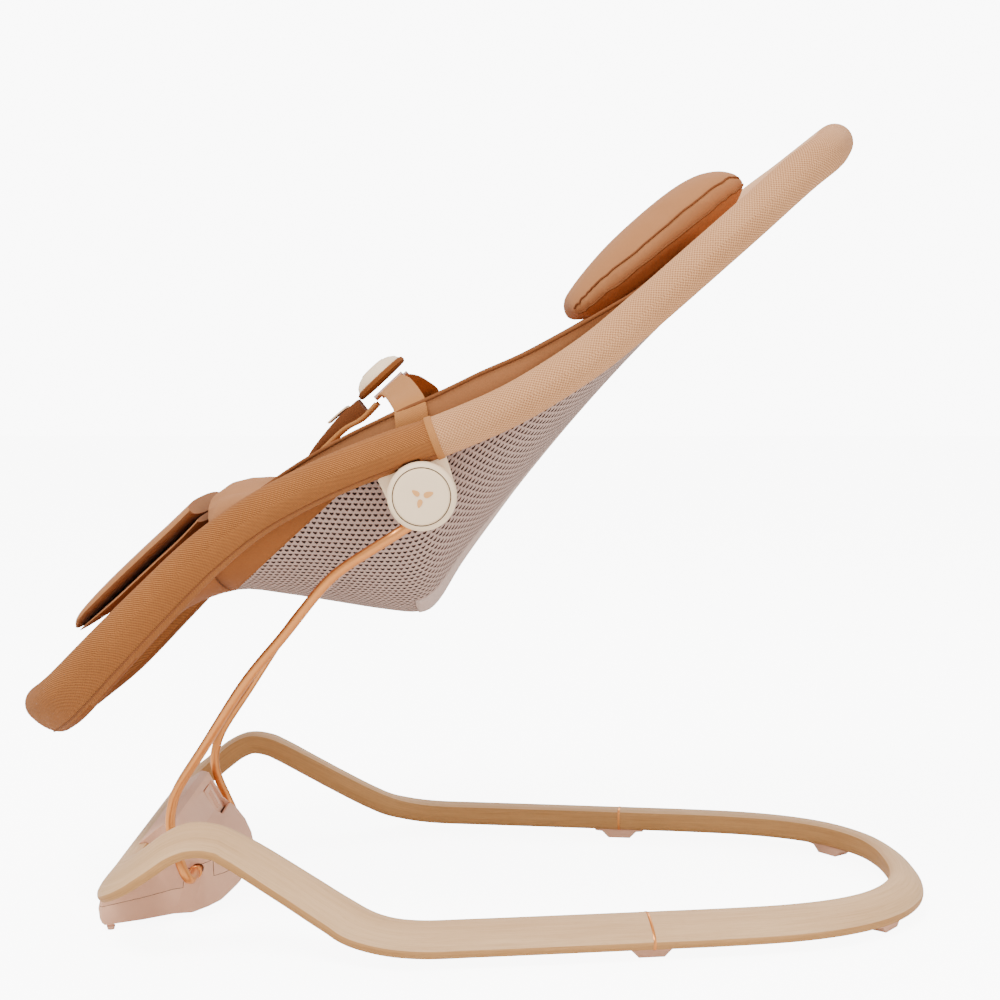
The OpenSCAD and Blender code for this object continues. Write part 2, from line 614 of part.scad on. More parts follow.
module head_pillow() {
  away = [cos(pillow_slope), 0, sin(pillow_slope)];
  color(suede) loft([for (q = open_curve(pillow_rows, 2))
    slab([pillow_start[0], 0, pillow_start[1]] + q[0]*away, pillow_slope, q[1],
      (pillow_t - 6)*q[2], pillow_belly*q[2])]);
}

front_bow();
rear_bow();
joint_band_left();
joint_band_right();
joint_dowels();
housing_upper();
housing_lower();
housing_screws();
shaft_bush_left();
shaft_bush_right();
bounce_spring_left();
bounce_spring_right();
glide_pad_mid_left();
glide_pad_mid_right();
glide_pad_rear_left();
glide_pad_rear_right();
pad_screws();
front_feet();
leg_rod_left();
leg_rod_right();
cross_shaft();
lock_cam();
leg_hub_left();
leg_hub_right();
ring_tube();
hub_bracket_left();
hub_bracket_right();
hub_axle_left();
hub_axle_right();
index_plate_left();
index_plate_right();
bolster_foot();
bolster_head();
binding_left();
binding_right();
mesh_sling();
foot_panel();
head_panel();
inlay();
leg_flap();
waist_strap_left();
waist_strap_right();
crotch_strap();
buckle_base();
slider_bar_left();
slider_bar_right();
recline_button_left();
recline_button_right();
button_spring_left();
button_spring_right();
mode_slide();
buckle_button();
head_pillow();
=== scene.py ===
import math
import bmesh
import bpy
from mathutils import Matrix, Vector
from mathutils.bvhtree import BVHTree


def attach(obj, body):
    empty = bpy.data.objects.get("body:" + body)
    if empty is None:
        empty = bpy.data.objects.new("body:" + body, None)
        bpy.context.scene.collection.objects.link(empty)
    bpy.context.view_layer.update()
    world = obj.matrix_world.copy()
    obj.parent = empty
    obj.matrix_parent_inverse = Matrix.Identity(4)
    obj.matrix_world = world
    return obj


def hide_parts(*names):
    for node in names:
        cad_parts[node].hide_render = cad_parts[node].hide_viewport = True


# Baby bouncer: bent wood floor loop, sprung rod legs, ring seat with knit sleeves,
# hanging mesh, padded liner, head pillow and harness. Settings are in millimetres.

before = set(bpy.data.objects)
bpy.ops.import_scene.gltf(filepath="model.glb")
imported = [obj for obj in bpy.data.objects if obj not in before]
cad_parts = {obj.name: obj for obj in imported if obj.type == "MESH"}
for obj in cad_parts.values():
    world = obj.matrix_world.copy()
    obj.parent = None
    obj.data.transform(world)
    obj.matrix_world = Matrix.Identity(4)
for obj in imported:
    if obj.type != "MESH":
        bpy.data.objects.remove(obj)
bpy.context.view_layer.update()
mm = 0.001
print("frame loaded:", len(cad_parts), "nodes")


def tone(red, green, blue):
    # screen values 0-255 to the linear colour that shaders take
    def linear(c):
        c = c / 255
        return c / 12.92 if c <= 0.04045 else ((c + 0.055) / 1.055) ** 2.4
    return (linear(red), linear(green), linear(blue), 1.0)


white = (1, 1, 1, 1.0)
black = (0, 0, 0, 1.0)
origin = (0.0, 0.0, 0.0)


# ---------- camera, floor and light
viewSettings = {"place": (0.022, -1.4766, 0.449), "tilt": 85.47, "lens": 63.59}


def makeCamera(s):
    data = bpy.data.cameras.new("viewCamera")
    data.sensor_width = 36
    data.lens = s["lens"]
    data.clip_end = 60
    camera = bpy.data.objects.new("viewCamera", data)
    camera.location = s["place"]
    camera.rotation_euler = (math.radians(s["tilt"]), 0, 0)
    bpy.context.scene.collection.objects.link(camera)
    bpy.context.scene.camera = camera


lightSettings = {"world": 1.1, "backdrop": 9.5, "floorGlow": 8.0, "aim": (0, 0, 0.3),
                 "key": (-0.9, -1.3, 2.7, 90, 1.1),
                 "fill": (1.7, -1.9, 0.9, 20, 1.6), "back": (0.6, 1.8, 2.2, 26, 1.5)}


def makeLights(s):
    world = bpy.data.worlds.new("studioWorld")
    world.use_nodes = True
    # the camera sees a brighter backdrop than the one that lights the seat
    tree = world.node_tree
    back = tree.nodes["Background"]
    back.inputs["Color"].default_value = white
    path = tree.nodes.new("ShaderNodeLightPath")
    strength = spread(tree, path.outputs["Is Camera Ray"], 0, 1, s["world"], s["backdrop"])
    tree.links.new(strength, back.inputs["Strength"])
    bpy.context.scene.world = world
    for name in ("key", "fill", "back"):
        x, y, z, power, size = s[name]
        data = bpy.data.lights.new(name + "Light", "AREA")
        data.energy = power
        data.size = size
        lamp = bpy.data.objects.new(name + "Light", data)
        lamp.location = (x, y, z)
        aim = Vector(s["aim"]) - Vector((x, y, z))
        lamp.rotation_euler = aim.to_track_quat("-Z", "Y").to_euler()
        bpy.context.scene.collection.objects.link(lamp)


# ---------- node helpers
def makeGroup(name, inputs, outputs):
    # inputs and outputs: {label: default}; a tuple of 4 is a colour, of 3 a vector
    tree = bpy.data.node_groups.new(name, "ShaderNodeTree")
    for side, labels in (("INPUT", inputs), ("OUTPUT", outputs)):
        for label, value in labels.items():
            kind = "NodeSocketFloat"
            if isinstance(value, tuple):
                kind = "NodeSocketColor" if len(value) == 4 else "NodeSocketVector"
            socket = tree.interface.new_socket(name=label, in_out=side, socket_type=kind)
            if side == "INPUT":
                socket.default_value = value
    return tree, tree.nodes.new("NodeGroupInput").outputs, tree.nodes.new("NodeGroupOutput").inputs


def plug(tree, socket, value):
    if isinstance(value, bpy.types.NodeSocket):
        tree.links.new(value, socket)
    else:
        socket.default_value = value


def maths(tree, operation, a, b=0.0, c=0.0):
    node = tree.nodes.new("ShaderNodeMath")
    node.operation = operation
    for socket, value in zip(node.inputs, (a, b, c)):
        plug(tree, socket, value)
    return node.outputs[0]


def mixColour(tree, factor, a, b):
    node = tree.nodes.new("ShaderNodeMix")
    node.data_type = "RGBA"
    plug(tree, node.inputs[0], factor)
    plug(tree, node.inputs[6], a)
    plug(tree, node.inputs[7], b)
    return node.outputs[2]


def splitVector(tree, vector):
    # the two coordinates that the effects use: along and across
    node = tree.nodes.new("ShaderNodeSeparateXYZ")
    plug(tree, node.inputs[0], vector)
    return node.outputs[0], node.outputs[1]


def joinVector(tree, x, y, z=0.0):
    node = tree.nodes.new("ShaderNodeCombineXYZ")
    for socket, value in zip(node.inputs, (x, y, z)):
        plug(tree, socket, value)
    return node.outputs[0]


def noise(tree, vector, scale, detail=3.0):
    node = tree.nodes.new("ShaderNodeTexNoise")
    plug(tree, node.inputs["Vector"], vector)
    node.inputs["Scale"].default_value = scale
    node.inputs["Detail"].default_value = detail
    return node.outputs["Fac"]


def spread(tree, value, low, high, outLow=0.0, outHigh=1.0):
    node = tree.nodes.new("ShaderNodeMapRange")
    for socket, number in zip(node.inputs, (value, low, high, outLow, outHigh)):
        plug(tree, socket, number)
    return node.outputs[0]


# ---------- effects that several materials share
def grainGroup():
    # long wood fibres with soft bands and dark pores
    tree, given, out = makeGroup(
        "grainEffect", {"Coordinates": origin, "Light": white, "Dark": black, "Streak": 0.6},
        {"Colour": white, "Rough": 0.5, "Height": 0.0})
    along, across = splitVector(tree, given["Coordinates"])
    slow = noise(tree, joinVector(tree, maths(tree, "MULTIPLY", along, 5.0),
                                  maths(tree, "MULTIPLY", across, 42.0)), 1.0, 4.0)
    ripple = maths(tree, "MULTIPLY_ADD", slow, 7.0, maths(tree, "MULTIPLY", across, 900.0))
    bands = maths(tree, "MULTIPLY_ADD", maths(tree, "SINE", ripple), 0.5, 0.5)
    fibre = noise(tree, joinVector(tree, maths(tree, "MULTIPLY", along, 22.0),
                                   maths(tree, "MULTIPLY", across, 1500.0)), 1.0, 3.0)
    pores = noise(tree, joinVector(tree, maths(tree, "MULTIPLY", along, 120.0),
                                   maths(tree, "MULTIPLY", across, 2600.0)), 1.0, 1.0)
    poreMask = spread(tree, pores, 0.60, 0.72)
    fibres = maths(tree, "MULTIPLY", spread(tree, fibre, 0.35, 0.7), 0.6)
    streak = maths(tree, "MULTIPLY", maths(tree, "ADD", maths(tree, "MULTIPLY", bands, 0.14), fibres),
                   given["Streak"])
    shade = maths(tree, "ADD", streak, maths(tree, "MULTIPLY", spread(tree, slow, 0.35, 0.75), 0.35))
    base = mixColour(tree, shade, given["Light"], given["Dark"])
    pored = mixColour(tree, maths(tree, "MULTIPLY", poreMask, 0.30), base, given["Dark"])
    tree.links.new(pored, out["Colour"])
    tree.links.new(maths(tree, "MULTIPLY_ADD", fibre, 0.18, 0.40), out["Rough"])
    tree.links.new(maths(tree, "SUBTRACT", fibre, poreMask), out["Height"])
    return tree


def knitGroup():
    # two families of slanting ribs: cross 0 gives a twill, cross 1 staggered dots; the grooves between ribs
    # take painted shade
    tree, given, out = makeGroup(
        "knitEffect", {"Coordinates": origin, "Pitch": 0.002, "Cross": 0.3, "Yarn": white, "Groove Shade": black},
        {"Colour": white, "Height": 0.0})
    along, across = splitVector(tree, given["Coordinates"])
    turn = maths(tree, "DIVIDE", 2 * math.pi, given["Pitch"])
    first = maths(tree, "SINE", maths(tree, "MULTIPLY", maths(tree, "SUBTRACT", along, across), turn))
    second = maths(tree, "SINE", maths(tree, "MULTIPLY", maths(tree, "ADD", along, across), turn))
    share = maths(tree, "MULTIPLY", given["Cross"], 0.5)
    ribs = maths(tree, "ADD", maths(tree, "MULTIPLY", first, maths(tree, "SUBTRACT", 1.0, share)),
                 maths(tree, "MULTIPLY", second, share))
    height = maths(tree, "MULTIPLY_ADD", ribs, 0.5, 0.5)
    wear = noise(tree, given["Coordinates"], 9.0, 4.0)
    fuzz = noise(tree, given["Coordinates"], 2600.0, 1.0)
    # the lower the rib, the more of the groove colour, painted shade; the noises add random tone and fuzz
    depth = maths(tree, "ADD", maths(tree, "MULTIPLY", maths(tree, "SUBTRACT", 1.0, height), 0.85),
                  maths(tree, "MULTIPLY", maths(tree, "SUBTRACT", wear, 0.5), 0.35))
    depth = maths(tree, "MULTIPLY_ADD", maths(tree, "SUBTRACT", fuzz, 0.5), 0.25, depth)
    tree.links.new(mixColour(tree, depth, given["Yarn"], given["Groove Shade"]), out["Colour"])
    tree.links.new(height, out["Height"])
    return tree


def holeGroup():
    # staggered heart-shaped openings filled with painted shade, and painted shade on the threads towards each
    # opening's rim
    tree, given, out = makeGroup(
        "holeEffect", {"Coordinates": origin, "Pitch Along": 0.0042, "Pitch Across": 0.004, "Thread": white,
                       "Shade": black, "Hole Shade": black}, {"Colour": white, "Height": 0.0})
    along, across = splitVector(tree, given["Coordinates"])
    row = maths(tree, "DIVIDE", across, given["Pitch Across"])
    rowNumber = maths(tree, "FLOOR", row)
    shift = maths(tree, "MULTIPLY", maths(tree, "FLOORED_MODULO", rowNumber, 2.0), 0.5)
    column = maths(tree, "ADD", maths(tree, "DIVIDE", along, given["Pitch Along"]), shift)
    x = maths(tree, "SUBTRACT", maths(tree, "FRACT", column), 0.5)
    y = maths(tree, "SUBTRACT", maths(tree, "FRACT", row), 0.5)
    notch = maths(tree, "SUBTRACT", y, maths(tree, "MULTIPLY", maths(tree, "ABSOLUTE", x), 0.55))
    wide = maths(tree, "POWER", maths(tree, "DIVIDE", x, 0.30), 2.0)
    tall = maths(tree, "POWER", maths(tree, "DIVIDE", maths(tree, "ADD", notch, 0.06), 0.21), 2.0)
    field = maths(tree, "SQRT", maths(tree, "ADD", wide, tall))
    rim = spread(tree, field, 1.0, 1.55)
    threads = maths(tree, "SINE", maths(tree, "MULTIPLY", maths(tree, "ADD", along, across), 9000.0))
    wear = noise(tree, given["Coordinates"], 12.0, 3.0)
    light = maths(tree, "ADD", rim, maths(tree, "MULTIPLY", threads, 0.08))
    light = maths(tree, "ADD", light, maths(tree, "MULTIPLY", maths(tree, "SUBTRACT", wear, 0.5), 0.3))
    # the threads take painted shade towards each opening's rim
    threadColour = mixColour(tree, light, given["Shade"], given["Thread"])
    # each opening is filled with a dark colour, painted shade
    holeShade = spread(tree, field, 0.9, 1.05)
    tree.links.new(mixColour(tree, holeShade, given["Hole Shade"], threadColour), out["Colour"])
    tree.links.new(rim, out["Height"])
    return tree


def napGroup():
    # brushed jersey: soft patches, a fine rib and a slight fuzz
    tree, given, out = makeGroup(
        "napEffect", {"Coordinates": origin, "Cloth": white, "Shade": black, "Patches": 0.35},
        {"Colour": white, "Rough": 0.9, "Height": 0.0})
    along, across = splitVector(tree, given["Coordinates"])
    patch = noise(tree, given["Coordinates"], 16.0, 5.0)
    fine = noise(tree, given["Coordinates"], 700.0, 2.0)
    rib = maths(tree, "SINE", maths(tree, "MULTIPLY", maths(tree, "ADD", along, across), 5200.0))
    blend = maths(tree, "ADD", maths(tree, "MULTIPLY", spread(tree, patch, 0.3, 0.7), given["Patches"]),
                  maths(tree, "MULTIPLY", spread(tree, fine, 0.3, 0.7), 0.22))
    tree.links.new(mixColour(tree, blend, given["Cloth"], given["Shade"]), out["Colour"])
    tree.links.new(maths(tree, "MULTIPLY_ADD", fine, 0.15, 0.78), out["Rough"])
    tree.links.new(maths(tree, "MULTIPLY_ADD", rib, 0.3, fine), out["Height"])
    return tree


def webGroup():
    # woven webbing: picks along the strap and ends across it, with painted shade following the weave height
    tree, given, out = makeGroup("webEffect", {"Coordinates": origin, "Yarn": white, "Groove Shade": black},
                                 {"Colour": white, "Height": 0.0})
    along, across = splitVector(tree, given["Coordinates"])
    picks = maths(tree, "SINE", maths(tree, "MULTIPLY", along, 2 * math.pi / 0.0016))
    ends = maths(tree, "SINE", maths(tree, "MULTIPLY", across, 2 * math.pi / 0.0024))
    height = maths(tree, "MULTIPLY_ADD", maths(tree, "MULTIPLY", picks, ends), 0.5, 0.5)
    wear = noise(tree, given["Coordinates"], 30.0, 3.0)
    patches = maths(tree, "MULTIPLY", maths(tree, "SUBTRACT", wear, 0.4), 0.4)
    # the weave height mixes in the groove colour as painted shade; the noise adds worn patches
    depth = maths(tree, "ADD", maths(tree, "MULTIPLY", height, 0.45), patches)
    tree.links.new(mixColour(tree, depth, given["Yarn"], given["Groove Shade"]), out["Colour"])
    tree.links.new(height, out["Height"])
    return tree


def mouldGroup():
    # moulded plastic or plated metal: a faint mottle and fine texture
    tree, given, out = makeGroup(
        "mouldEffect", {"Coordinates": origin, "Surface": white, "Dull": black, "Rough Low": 0.4,
                        "Rough High": 0.5}, {"Colour": white, "Rough": 0.5, "Height": 0.0})
    mottle = noise(tree, given["Coordinates"], 14.0, 4.0)
    grain = noise(tree, given["Coordinates"], 900.0, 2.0)
    dulled = spread(tree, mottle, 0.3, 0.8, 0.0, 0.55)
    tree.links.new(mixColour(tree, dulled, given["Surface"], given["Dull"]), out["Colour"])
    tree.links.new(spread(tree, mottle, 0.3, 0.7, given["Rough Low"], given["Rough High"]), out["Rough"])
    tree.links.new(grain, out["Height"])
    return tree


groups = {"grain": grainGroup(), "knit": knitGroup(), "holes": holeGroup(), "nap": napGroup(),
          "web": webGroup(), "mould": mouldGroup()}


def finish(name, effect, values, coordinates="UV", roughness=0.8, metallic=0.0, bump=(0.3, 0.0005),
           sheen=0.0, specular=0.5):
    # a material: one shared effect with its own values, then the shader
    material = bpy.data.materials.new(name)
    material.use_nodes = True
    tree = material.node_tree
    shader = tree.nodes["Principled BSDF"]
    source = tree.nodes.new("ShaderNodeTexCoord")
    group = tree.nodes.new("ShaderNodeGroup")
    group.node_tree = groups[effect]
    tree.links.new(source.outputs[coordinates], group.inputs["Coordinates"])
    for label, value in values.items():
        group.inputs[label].default_value = value
    tree.links.new(group.outputs["Colour"], shader.inputs["Base Color"])
    if "Rough" in group.outputs:
        tree.links.new(group.outputs["Rough"], shader.inputs["Roughness"])
    else:
        shader.inputs["Roughness"].default_value = roughness
    bumpNode = tree.nodes.new("ShaderNodeBump")
    bumpNode.inputs["Strength"].default_value = bump[0]
    bumpNode.inputs["Distance"].default_value = bump[1]
    tree.links.new(group.outputs["Height"], bumpNode.inputs["Height"])
    tree.links.new(bumpNode.outputs["Normal"], shader.inputs["Normal"])
    shader.inputs["Metallic"].default_value = metallic
    shader.inputs["Sheen Weight"].default_value = sheen
    shader.inputs["Specular IOR Level"].default_value = specular
    return material


def wood(name, light, dark, streak, specular):
    return finish(name, "grain", {"Light": tone(*light), "Dark": tone(*dark), "Streak": streak},
                  bump=(0.25, 0.0003), specular=specular)


def moulded(name, surface, dull, rough, bump, metallic=0.0, specular=0.5):
    values = {"Surface": tone(*surface), "Dull": tone(*dull), "Rough Low": rough[0], "Rough High": rough[1]}
    return finish(name, "mould", values, "Object", metallic=metallic, bump=bump, specular=specular)


def knitted(name, pitch, cross, yarn, grooveShade):
    values = {"Pitch": pitch, "Cross": cross, "Yarn": tone(*yarn), "Groove Shade": tone(*grooveShade)}
    return finish(name, "knit", values, roughness=0.85, bump=(0.6, 0.0006), sheen=0.03, specular=0.08)


def brushed(name, cloth, shade, patches, strength=0.2, coordinates="UV"):
    values = {"Cloth": tone(*cloth), "Shade": tone(*shade), "Patches": patches}
    return finish(name, "nap", values, coordinates, bump=(strength, 0.0003), sheen=0.03, specular=0.08)


def woven(name, yarn, grooveShade, roughness):
    return finish(name, "web", {"Yarn": tone(*yarn), "Groove Shade": tone(*grooveShade)}, roughness=roughness,
                  bump=(0.35, 0.0004), sheen=0.03, specular=0.08)


def net(name, thread, shade, holeShade, along, across):
    values = {"Thread": tone(*thread), "Shade": tone(*shade), "Hole Shade": tone(*holeShade),
              "Pitch Along": along, "Pitch Across": across}
    return finish(name, "holes", values, roughness=0.85, bump=(0.6, 0.0008), sheen=0.03, specular=0.08)


ash = wood("paleAsh", (222, 182, 138), (172, 128, 84), 0.5, 0.12)
# a darker copy of the same wood for the loop's sides and underside, painted shade
ashShaded = wood("paleAshShaded", (192, 144, 92), (146, 98, 54), 0.6, 0.1)
copper = moulded("copperPlate", (226, 150, 84), (206, 128, 66), (0.3, 0.4), (0.04, 0.0001), 1.0)
blush = moulded("blushPlastic", (226, 176, 146), (214, 162, 132), (0.45, 0.58), (0.1, 0.0002), specular=0.2)
cream = moulded("creamPlastic", (248, 220, 182), (242, 210, 172), (0.36, 0.48), (0.08, 0.0002), specular=0.25)
peach = moulded("peachPrint", (226, 160, 92), (218, 150, 82), (0.4, 0.5), (0.05, 0.0001))
steelMade = moulded("plainSteel", (180, 180, 184), (150, 150, 155), (0.3, 0.45), (0.05, 0.0001), 1.0)
rose = moulded("roseMetal", (214, 172, 156), (196, 150, 134), (0.2, 0.3), (0.04, 0.0001), 1.0)
# a dark material that stands in for the shade inside narrow gaps, painted shade
paintedGapShade = moulded("paintedGapShade", (74, 56, 44), (60, 44, 34), (0.8, 0.9), (0.05, 0.0001), specular=0.1)
darkPart = moulded("darkPart", (84, 78, 74), (66, 60, 58), (0.6, 0.75), (0.15, 0.0003))
# each knit's second colour is painted shade for the grooves between its ribs
cognac = knitted("cognacKnit", 0.0021, 0.45, (176, 112, 60), (84, 44, 18))
tan = knitted("tanKnit", 0.0026, 0.95, (224, 168, 120), (140, 84, 46))
hem = brushed("cognacHem", (134, 78, 36), (110, 60, 24), 0.3)
jersey = brushed("brownJersey", (174, 118, 76), (148, 96, 58), 0.35)
panelCloth = brushed("panelJersey", (148, 90, 48), (128, 74, 36), 0.3)
tanPanel = brushed("tanPanel", (230, 180, 138), (216, 164, 122), 0.3, 0.15)
lilac = brushed("lilacTape", (196, 170, 158), (178, 150, 138), 0.25, 0.15)
# the net's shade colour is painted shade on the thread rims, its last colour painted shade in the openings
netting = net("mauveNet", (180, 152, 140), (110, 82, 72), (34, 16, 12), 0.0047, 0.0042)
# each webbing's second colour is painted shade for its weave
webbing = woven("caramelWeb", (180, 122, 70), (146, 92, 48), 0.8)
strapShade = woven("shadedWeb", (120, 70, 38), (84, 44, 22), 0.85)
piping = brushed("pipingCord", (128, 78, 44), (108, 62, 34), 0.2, coordinates="Object")
floorMade = moulded("paleFloor", (250, 249, 247), (247, 246, 244), (0.7, 0.8), (0.0, 0.0001), specular=0.1)
print("materials made:", len(bpy.data.materials))


# ---------- mesh helpers
def smoothLine(points, steps, closed=False):
    # a smooth line through rows of numbers, with the same steps between neighbours
    count = len(points)
    made = []
    for i in range(count if closed else count - 1):
        near = []
        for k in (-1, 0, 1, 2):
            near.append(points[(i + k) % count] if closed else points[min(max(i + k, 0), count - 1)])
        for s in range(steps):
            t = s / steps
            made.append(tuple(0.5 * (2 * b + (c - a) * t + (2 * a - 5 * b + 4 * c - d) * t * t
                                     + (3 * b - a - 3 * c + d) * t ** 3) for a, b, c, d in zip(*near)))
    if not closed:
        made.append(tuple(points[-1]))
    return made


def wholeLoop(half):
    # the +Y half of a loop and its mirror image
    return half + [(r[0], -r[1]) + tuple(r[2:]) for r in reversed(half[1:-1])]


def lineLength(line):
    return sum((Vector(line[k]) - Vector(line[k - 1])).length for k in range(1, len(line)))


def boxed(value, power):
    # bends a circle's cosine or sine towards a rounded box
    return math.copysign(abs(value) ** (2 / power), value)


def slopeNormal(slope):
    return Vector((-math.sin(math.radians(slope)), 0, math.cos(math.radians(slope))))


def ringAt(path, i, section):
    # the section's (outward, upward) points placed square to the closed path at step i
    here, after, before = path[i % len(path)], path[(i + 1) % len(path)], path[(i - 1) % len(path)]
    ahead = (Vector(after[:3]) - Vector(before[:3])).normalized()
    out = slopeNormal(here[3]).cross(ahead).normalized()
    up = ahead.cross(out)
    return [Vector(here[:3]) + out * a + up * b for a, b in section]


def link(name, bm, materials, smooth=40):
    mesh = bpy.data.meshes.new(name)
    bm.to_mesh(mesh)
    bm.free()
    for face in mesh.polygons:
        face.use_smooth = True
    if smooth:
        mesh.set_sharp_from_angle(angle=math.radians(smooth))
    for material in materials:
        mesh.materials.append(material)
    piece = bpy.data.objects.new(name, mesh)
    bpy.context.scene.collection.objects.link(piece)
    return piece


def loft(name, rings, materials, around=True, caps=True, endless=False, pick=None, smooth=40):
    # a row of points is extruded ring by ring; the UV map holds metres along and across
    bm = bmesh.new()
    uv = bm.loops.layers.uv.new("UVMap")
    ringOf = bm.verts.layers.int.new("ringNumber")
    spotOf = bm.verts.layers.int.new("spotNumber")
    count = len(rings[0])
    row = [bm.verts.new(Vector(p) * mm) for p in rings[0]]
    for k, vert in enumerate(row):
        vert[spotOf] = k
    edges = [bm.edges.new((row[k], row[(k + 1) % count])) for k in range(count if around else count - 1)]
    firstEdges = list(edges)
    for r in range(1, len(rings)):
        grown = bmesh.ops.extrude_edge_only(bm, edges=edges)["geom"]
        for vert in grown:
            if isinstance(vert, bmesh.types.BMVert):
                vert[ringOf] = r
                vert.co = Vector(rings[r][vert[spotOf]]) * mm
        newEdges = [e for e in grown if isinstance(e, bmesh.types.BMEdge)]
        edges = [e for e in newEdges if all(v[ringOf] == r for v in e.verts)]
    if endless:
        bmesh.ops.bridge_loops(bm, edges=firstEdges + edges)
    elif caps and around:
        bmesh.ops.contextual_create(bm, geom=firstEdges)
        bmesh.ops.contextual_create(bm, geom=edges)
    middle = count // 2
    alongs = [0.0]
    for r in range(1, len(rings) + 1):
        a, b = rings[r - 1], rings[r % len(rings)]
        steps = [(Vector(b[k]) - Vector(a[k])).length for k in (0, count // 4, middle)]
        alongs.append(alongs[-1] + sum(steps) / 3 * mm)
    widest = max(rings, key=lineLength)
    acrosses = [0.0]
    for k in range(1, count + 1):
        acrosses.append(acrosses[-1] + (Vector(widest[k % count]) - Vector(widest[k - 1])).length * mm)
    centre = 0.0 if around else acrosses[middle]
    for face in bm.faces:
        if len(face.verts) > 4:
            for loop in face.loops:
                loop[uv].uv = (loop.vert.co.y, loop.vert.co.z)
            continue
        spots = [v[spotOf] for v in face.verts]
        turns = [v[ringOf] for v in face.verts]
        spotWrap = around and max(spots) - min(spots) > count // 2
        ringWrap = endless and max(turns) - min(turns) > len(rings) // 2
        for loop in face.loops:
            spot, turn = loop.vert[spotOf], loop.vert[ringOf]
            spot = count if spotWrap and spot == 0 else spot
            turn = len(rings) if ringWrap and turn == 0 else turn
            loop[uv].uv = (alongs[turn], acrosses[spot] - centre)
        if pick:
            face.material_index = pick(min(turns), count if spotWrap else max(spots))
    if around:
        bmesh.ops.recalc_face_normals(bm, faces=bm.faces)
    return link(name, bm, materials, smooth)


def ringPath(section, centres, square):
    # rings of a plain section along an open path, square to it
    rings = []
    last = len(centres) - 1
    for i, here in enumerate(centres):
        ahead = (Vector(centres[min(i + 1, last)][:3]) - Vector(centres[max(i - 1, 0)][:3])).normalized()
        side = Vector(square(here) if callable(square) else square)
        across = side.cross(ahead).normalized()
        up = ahead.cross(across)
        rings.append([Vector(here[:3]) + across * a + up * b for a, b in section])
    return rings


def disc(radius, count=24):
    angles = [2 * math.pi * k / count for k in range(count)]
    return [(radius * math.cos(angle), radius * math.sin(angle)) for angle in angles]


def mirrorPiece(piece, name):
    # the same piece on the other side of the seat
    bm = bmesh.new()
    bm.from_mesh(piece.data)
    for vert in bm.verts:
        vert.co.y = -vert.co.y
    bmesh.ops.reverse_faces(bm, faces=bm.faces)
    return link(name, bm, list(piece.data.materials), 40)


def settle(piece, body, slot, *nodes):
    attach(piece, body)
    if nodes:
        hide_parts(*nodes)
    return piece


def nearLine(point, line):
    # the distance from a point to a line of corners, both in x and z
    best = math.inf
    for (x, z), (x2, z2) in zip(line, line[1:]):
        t = ((point.x - x) * (x2 - x) + (point.z - z) * (z2 - z)) / ((x2 - x) ** 2 + (z2 - z) ** 2)
        t = max(0, min(1, t))
        best = min(best, math.hypot(point.x - x - t * (x2 - x), point.z - z - t * (z2 - z)))
    return best


def rounded(node, name, material, width, body, slot, limit=30, parting=None):
    # a copy of a moulded node with its sharp edges rounded, with painted shade on the faces where the shells
    # part
    bm = bmesh.new()
    bm.from_mesh(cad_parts[node].data)
    bmesh.ops.remove_doubles(bm, verts=bm.verts, dist=1e-6)
    bmesh.ops.dissolve_limit(bm, angle_limit=math.radians(1), verts=bm.verts, edges=bm.edges)
    edges = [e for e in bm.edges if len(e.link_faces) == 2 and e.calc_face_angle(0) > math.radians(limit)
             and e.calc_length() > 0.0004]
    bmesh.ops.bevel(bm, geom=edges, offset=width * mm, affect="EDGES", segments=2, profile=0.5, material=-1,
                    clamp_overlap=True)
    # faces along the parting line take the dark material, painted shade in the gap
    for face in bm.faces if parting else []:
        near = nearLine(face.calc_center_median() / mm, parting["line"]) < parting["reach"]
        if near and abs(face.normal.y) < parting["sideways"]:
            face.material_index = 1
    return settle(link(name, bm, [material, paintedGapShade] if parting else [material], 35), body, slot, node)


# ---------- the wooden loop
rail = {"band": 2, "steps": 6, "bandRow": 16, "middle": (19, -9), "topSpots": (3, 21),
        "half": [(-258, 0, 68.5, 26, 1), (-258, 70, 68.5, 26, 1), (-258, 124, 68.5, 26, 1),
                 (-255, 143, 71, 26, 1.16), (-245, 151, 79.5, 22, 1.2), (-230, 154.5, 91.5, 12, 1.06),
                 (-214, 155, 98.5, 0, 1), (-197, 153, 97.5, 0, 1), (-180, 151.5, 91.5, 0, 1),
                 (-155, 152.5, 78.5, 0, 1), (-120, 157.5, 58.5, 0, 1), (-90, 164, 42, 0, 1),
                 (-66, 171, 32, 0, 1), (-40, 171.5, 28, 0, 1), (0, 167, 27.6, 0, 1), (70, 158, 27.6, 0, 1),
                 (133, 149.5, 27.6, 0, 1), (195, 141, 27.6, 0, 1), (245, 131.5, 27.6, 0, 0.97),
                 (285, 117, 27.6, 0, 0.9), (315, 96, 27.6, 0, 0.82), (337, 65, 27.6, 0, 0.76),
                 (346, 33, 27.6, 0, 0.73), (348, 0, 27.6, 0, 0.72)],
        "shape": [(0.3, -3), (1.6, -0.8), (5, 0.9), (12, 1.4), (20, -0.9), (29, -5), (35, -8.8),
                  (37.7, -12.5), (37.4, -16.5), (34.5, -19.2), (20, -19.5), (9, -19.5), (4.5, -17.5),
                  (2, -13)]}


def railRing(path, i, s, grow=0.0, shift=0.0):
    # the section is drawn at full size and narrows towards the back
    wide = path[i % len(path)][4]
    x, y = s["middle"]
    section = []
    for a, b in smoothLine(s["shape"], 3, closed=True):
        away = Vector((a - x, b - y)).normalized() * grow
        section.append((a * wide + away.x, b + away.y))
    return [p + Vector((shift, 0, 0)) for p in ringAt(path, i, section)]


